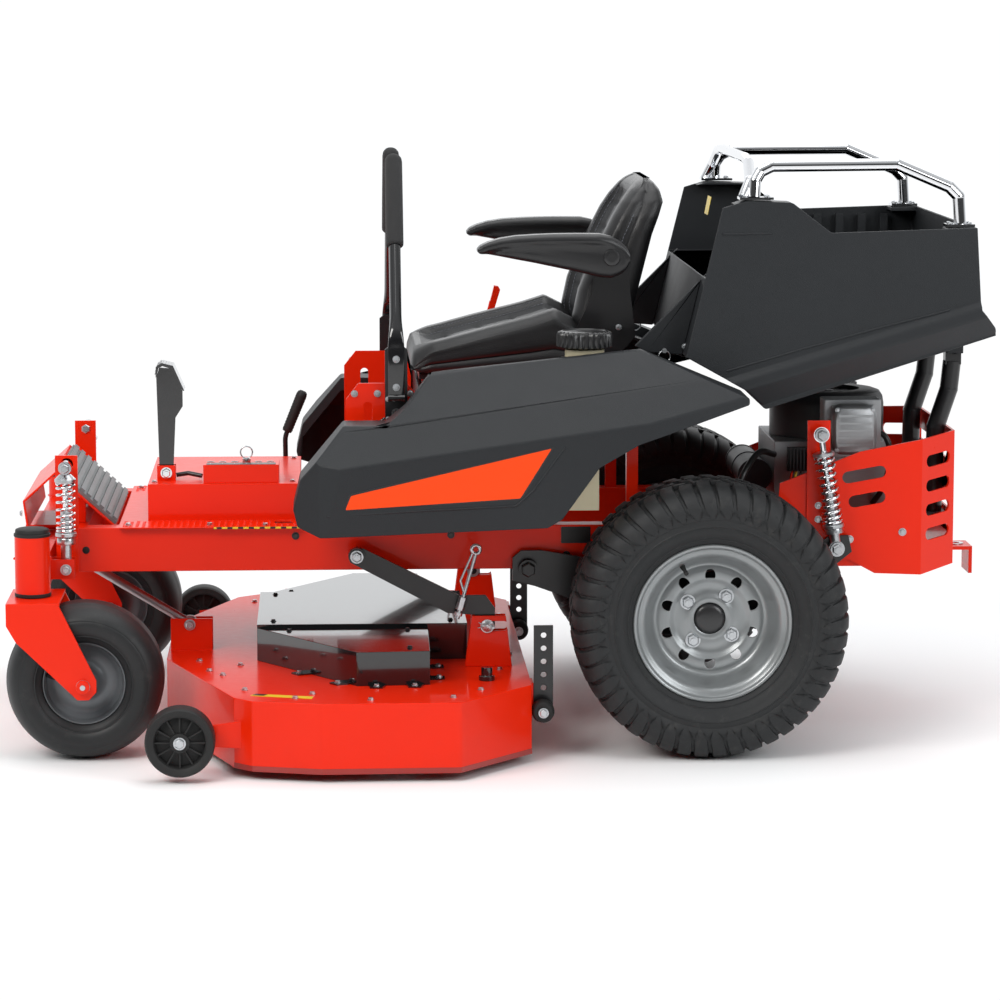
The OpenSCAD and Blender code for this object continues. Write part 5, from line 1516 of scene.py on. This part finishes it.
bolts("spindle_bolts", "deck",
      [((x + 0.040 * math.cos(a + math.radians(15)), y + 0.040 * math.sin(a + math.radians(15)), 0.177),
        (0, 0, 1), 0.0052) for x, y in SPINDLES for a in turns(6)])


# ---------------------------------------------------------------- engine bay and rear

for side, sign, tag in SIDES:
    # valve cover: ribbed casting with a raised blank field
    bm = bmesh.new()
    centre = Vector((0.7625, sign * 0.2440, 0.6555))
    rings = []
    for depth, grow in ((-0.018, 0.0), (0.010, 0.0), (0.016, -0.003), (0.0195, -0.008)):
        rings.append([centre + Vector((u * (0.0490 + grow), sign * depth, v * (0.0550 + grow)))
                      for u, v in (squarish(a, 0.42) for a in turns(48))])
    add_rings(bm, rings)
    for k in range(5):
        z = 0.6200 + 0.0160 * k
        add_box(bm, (0.726, sign * 0.2625 - 0.0022, z), (0.799, sign * 0.2625 + 0.0022, z + 0.0050))
    piece_from("valve_cover_" + side, bm, "chassis", "cast", 32)
    bolts("valve_cover_bolts_" + side, "chassis",
          [((0.7625 + dx, sign * 0.2600, 0.6555 + dz), (0, sign, 0), 0.0052)
           for dx in (-0.038, 0.038) for dz in (-0.044, 0.044)])
    # cooling fins round the cylinder
    bm = bmesh.new()
    for k in range(10):
        y = sign * (0.156 + 0.0068 * k)
        add_box(bm, (0.7035, y - 0.0012, 0.5920), (0.8225, y + 0.0012, 0.7150))
    piece_from("cylinder_fins_" + side, bm, "chassis", "cast", 25)
# blower housing with a slotted intake screen, and the muffler
bm = bmesh.new()
add_lathe(bm, [(0.1275, 0.0), (0.1278, 0.070), (0.1250, 0.086), (0.1180, 0.097), (0.1050, 0.1015),
               (0.0740, 0.1020), (0.0720, 0.0985), (0.0710, 0.085)], (0.735, 0, 0.619), (0, 0, 1), 72)
for a in turns(18):
    turn = Matrix.Translation((0.735 + 0.040 * math.cos(a), 0.040 * math.sin(a), 0.7120)) \
        @ Matrix.Rotation(a, 4, "Z")
    bmesh.ops.create_cube(bm, size=1.0, matrix=turn @ Matrix.Diagonal((0.058, 0.0045, 0.004, 1)))
add_lathe(bm, [(0.0, 0.0), (0.0140, 0.0), (0.0160, -0.003), (0.0160, -0.010)], (0.735, 0, 0.7165),
          (0, 0, 1), 28)
for y0, y1 in ((-0.1295, -0.1225), (0.1225, 0.1295), (-0.003, 0.003)):
    add_cylinder(bm, (0.560, y0, 0.540), (0.560, y1, 0.540), 0.0378, 48)
add_cylinder(bm, (0.560, -0.124, 0.540), (0.560, 0.124, 0.540), 0.0362, 48)
fan = piece_from("blower_and_muffler", bm, "chassis", "engine_black", 38)
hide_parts("engine_fittings")
# oil dipstick, and the regulator with its wires and hoses
bm = bmesh.new()
add_tube(bm, bezier_path([(0.690, -0.196, 0.500), (0.688, -0.198, 0.560), (0.694, -0.200, 0.628)], 8),
         0.0062, 14)
piece_from("dipstick_tube", bm, "chassis", "engine_black", 50)
bm = bmesh.new()
add_lathe(bm, [(0.0, 0.0190), (0.0080, 0.0180), (0.0120, 0.0130), (0.0125, 0.0), (0.0, 0.0)],
          (0.694, -0.200, 0.6270), (0.08, 0, 1), 24)
piece_from("dipstick_cap", bm, "chassis", "yellow", 45)
bm = bmesh.new()
add_box(bm, (0.622, -0.214, 0.560), (0.672, -0.196, 0.612))
for k in range(6):
    add_box(bm, (0.626 + 0.0075 * k, -0.2200, 0.563), (0.629 + 0.0075 * k, -0.213, 0.609))
piece_from("regulator", bm, "chassis", "engine_black", 30)
for name, finish, shift in (("wire_red", "red", 0.0), ("wire_yellow", "yellow", 0.006),
                            ("wire_black", "wire", 0.012)):
    bm = bmesh.new()
    x = 0.634 + shift * 1.6
    add_tube(bm, bezier_path([(x, -0.205, 0.562), (x - 0.004, -0.212, 0.535),
                              (x + 0.012, -0.214 - shift, 0.500), (x + 0.040, -0.190, 0.475),
                              (x + 0.070, -0.158, 0.466)], 8), 0.0026, 10)
    piece_from(name, bm, "chassis", finish, 60)
bm = bmesh.new()
add_tube(bm, bezier_path([(0.780, -0.155, 0.610), (0.830, -0.200, 0.640), (0.850, -0.205, 0.590),
                          (0.838, -0.180, 0.520), (0.820, -0.152, 0.480)], 10), 0.0065, 14)
add_tube(bm, bezier_path([(0.600, -0.152, 0.590), (0.560, -0.200, 0.600), (0.520, -0.260, 0.560),
                          (0.490, -0.262, 0.480)], 10), 0.0070, 14)
piece_from("engine_hoses", bm, "chassis", "wire", 60)
# blank label below the left fender, and guard bolts
panel("rail_label", [(0.118, -0.3182, 0.420), (0.182, -0.3182, 0.420), (0.182, -0.3182, 0.456),
                     (0.118, -0.3182, 0.456)], 0.0006, "chassis", "decal_dark",
      round_by=0.003)
for side, sign, tag in SIDES:
    bolts("guard_side_bolts_" + side, "chassis",
          [((x, sign * 0.3232, z), (0, sign, 0), 0.0080, 0.001)
           for x, z in ((0.612, 0.440), (0.860, 0.440), (0.745, 0.425))])
    bolts("rear_upright_bolts_" + side, "chassis",
          [((0.675, sign * 0.3280, z), (0, sign, 0), 0.0070) for z in (0.500, 0.470)])
bm = bmesh.new()
add_lathe(bm, [(0.0112, 0.0), (0.0200, 0.0), (0.0200, 0.0022), (0.0112, 0.0022), (0.0112, 0.0)],
          (1.030, 0, 0.3650), (0, 0, 1), 36)
piece_from("hitch_washer", bm, "chassis", "zinc", 35)


# ---------------------------------------------------------------- cargo bed fittings

for side, sign, tag in SIDES:
    places = [((x, sign * y, z), (0, 0, 1), 0.0052)
              for xs, ys, z in (((0.500, 0.548), (0.389, 0.412), 1.1710),
                                ((0.942, 0.982), (0.366, 0.398), 1.1120)) for y in ys for x in xs]
    bolts("rail_foot_bolts_" + side, "bed", places)
    # pull ring and pin of the bed's latch
    bm = bmesh.new()
    at = Vector((0.335, sign * 0.3625, 0.842))
    add_cylinder(bm, at - Vector((0, sign * 0.003, 0)), at + Vector((0, sign * 0.010, 0)), 0.0052, 18)
    add_loop(bm, at + Vector((0, sign * 0.0085, -0.0125)), 0.0125, 0.0014, 30, 8)
    piece_from("bed_pull_ring_" + side, bm, "bed", "zinc", 50)
    bolts("bed_leg_bolts_" + side, "bed",
          [((x, sign * 0.3602, z), (0, sign, 0), 0.0065)
           for x, z in ((0.420, 0.985), (0.402, 0.905), (0.380, 0.850))])
# ribs moulded on the inside of the side walls
bm = bmesh.new()
for y in (0.4050, -0.4140):
    for x in (0.600 + 0.052 * k for k in range(7)):
        add_box(bm, (x, y, 0.900), (x + 0.018, y + 0.0090, 1.085))
piece_from("bed_wall_ribs", bm, "bed", "charcoal", 30)
panel("bed_mark", [(0.470, 0.060, 1.105), (0.470, 0.130, 1.105), (0.478, 0.130, 1.145),
                   (0.478, 0.060, 1.145)], 0.0006, "bed", "decal_yellow")

# fuel filler: neck collar under the cap
bm = bmesh.new()
CAP_X, CAP_Y = 0.163, -0.385
add_lathe(bm, [(0.0425, 0.0), (0.0500, 0.0), (0.0510, 0.002), (0.0510, 0.008), (0.0425, 0.010)],
          (CAP_X, CAP_Y, 0.822), (0, 0, 1), 48)
piece_from("filler_collar", bm, "chassis", "cap", 40)
# ribbed cap: (height, scale, whether the ribs show there)
CAP_R = 0.0572
levels = [(0.8525, 0.94, 0), (0.8545, 1.0, 1), (0.8790, 1.0, 1), (0.8840, 0.965, 1), (0.8868, 0.90, 0),
          (0.8877, 0.80, 0), (0.8855, 0.765, 0), (0.8850, 0.40, 0), (0.8852, 0.0001, 0)]
rings = []
for z, scale, ribbed in levels:
    radii = [(CAP_R + 0.0026 * math.cos(a * 28) * ribbed) * scale for a in turns(168)]
    rings.append([(CAP_X + r * math.cos(a), CAP_Y + r * math.sin(a), z)
                  for r, a in zip(radii, turns(168))])
bm = bmesh.new()
add_rings(bm, rings, (True, False))
cap = piece_from("fuel_cap_skin", bm, "fuel_cap_body", "cap", 40)
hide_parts("fuel_cap")
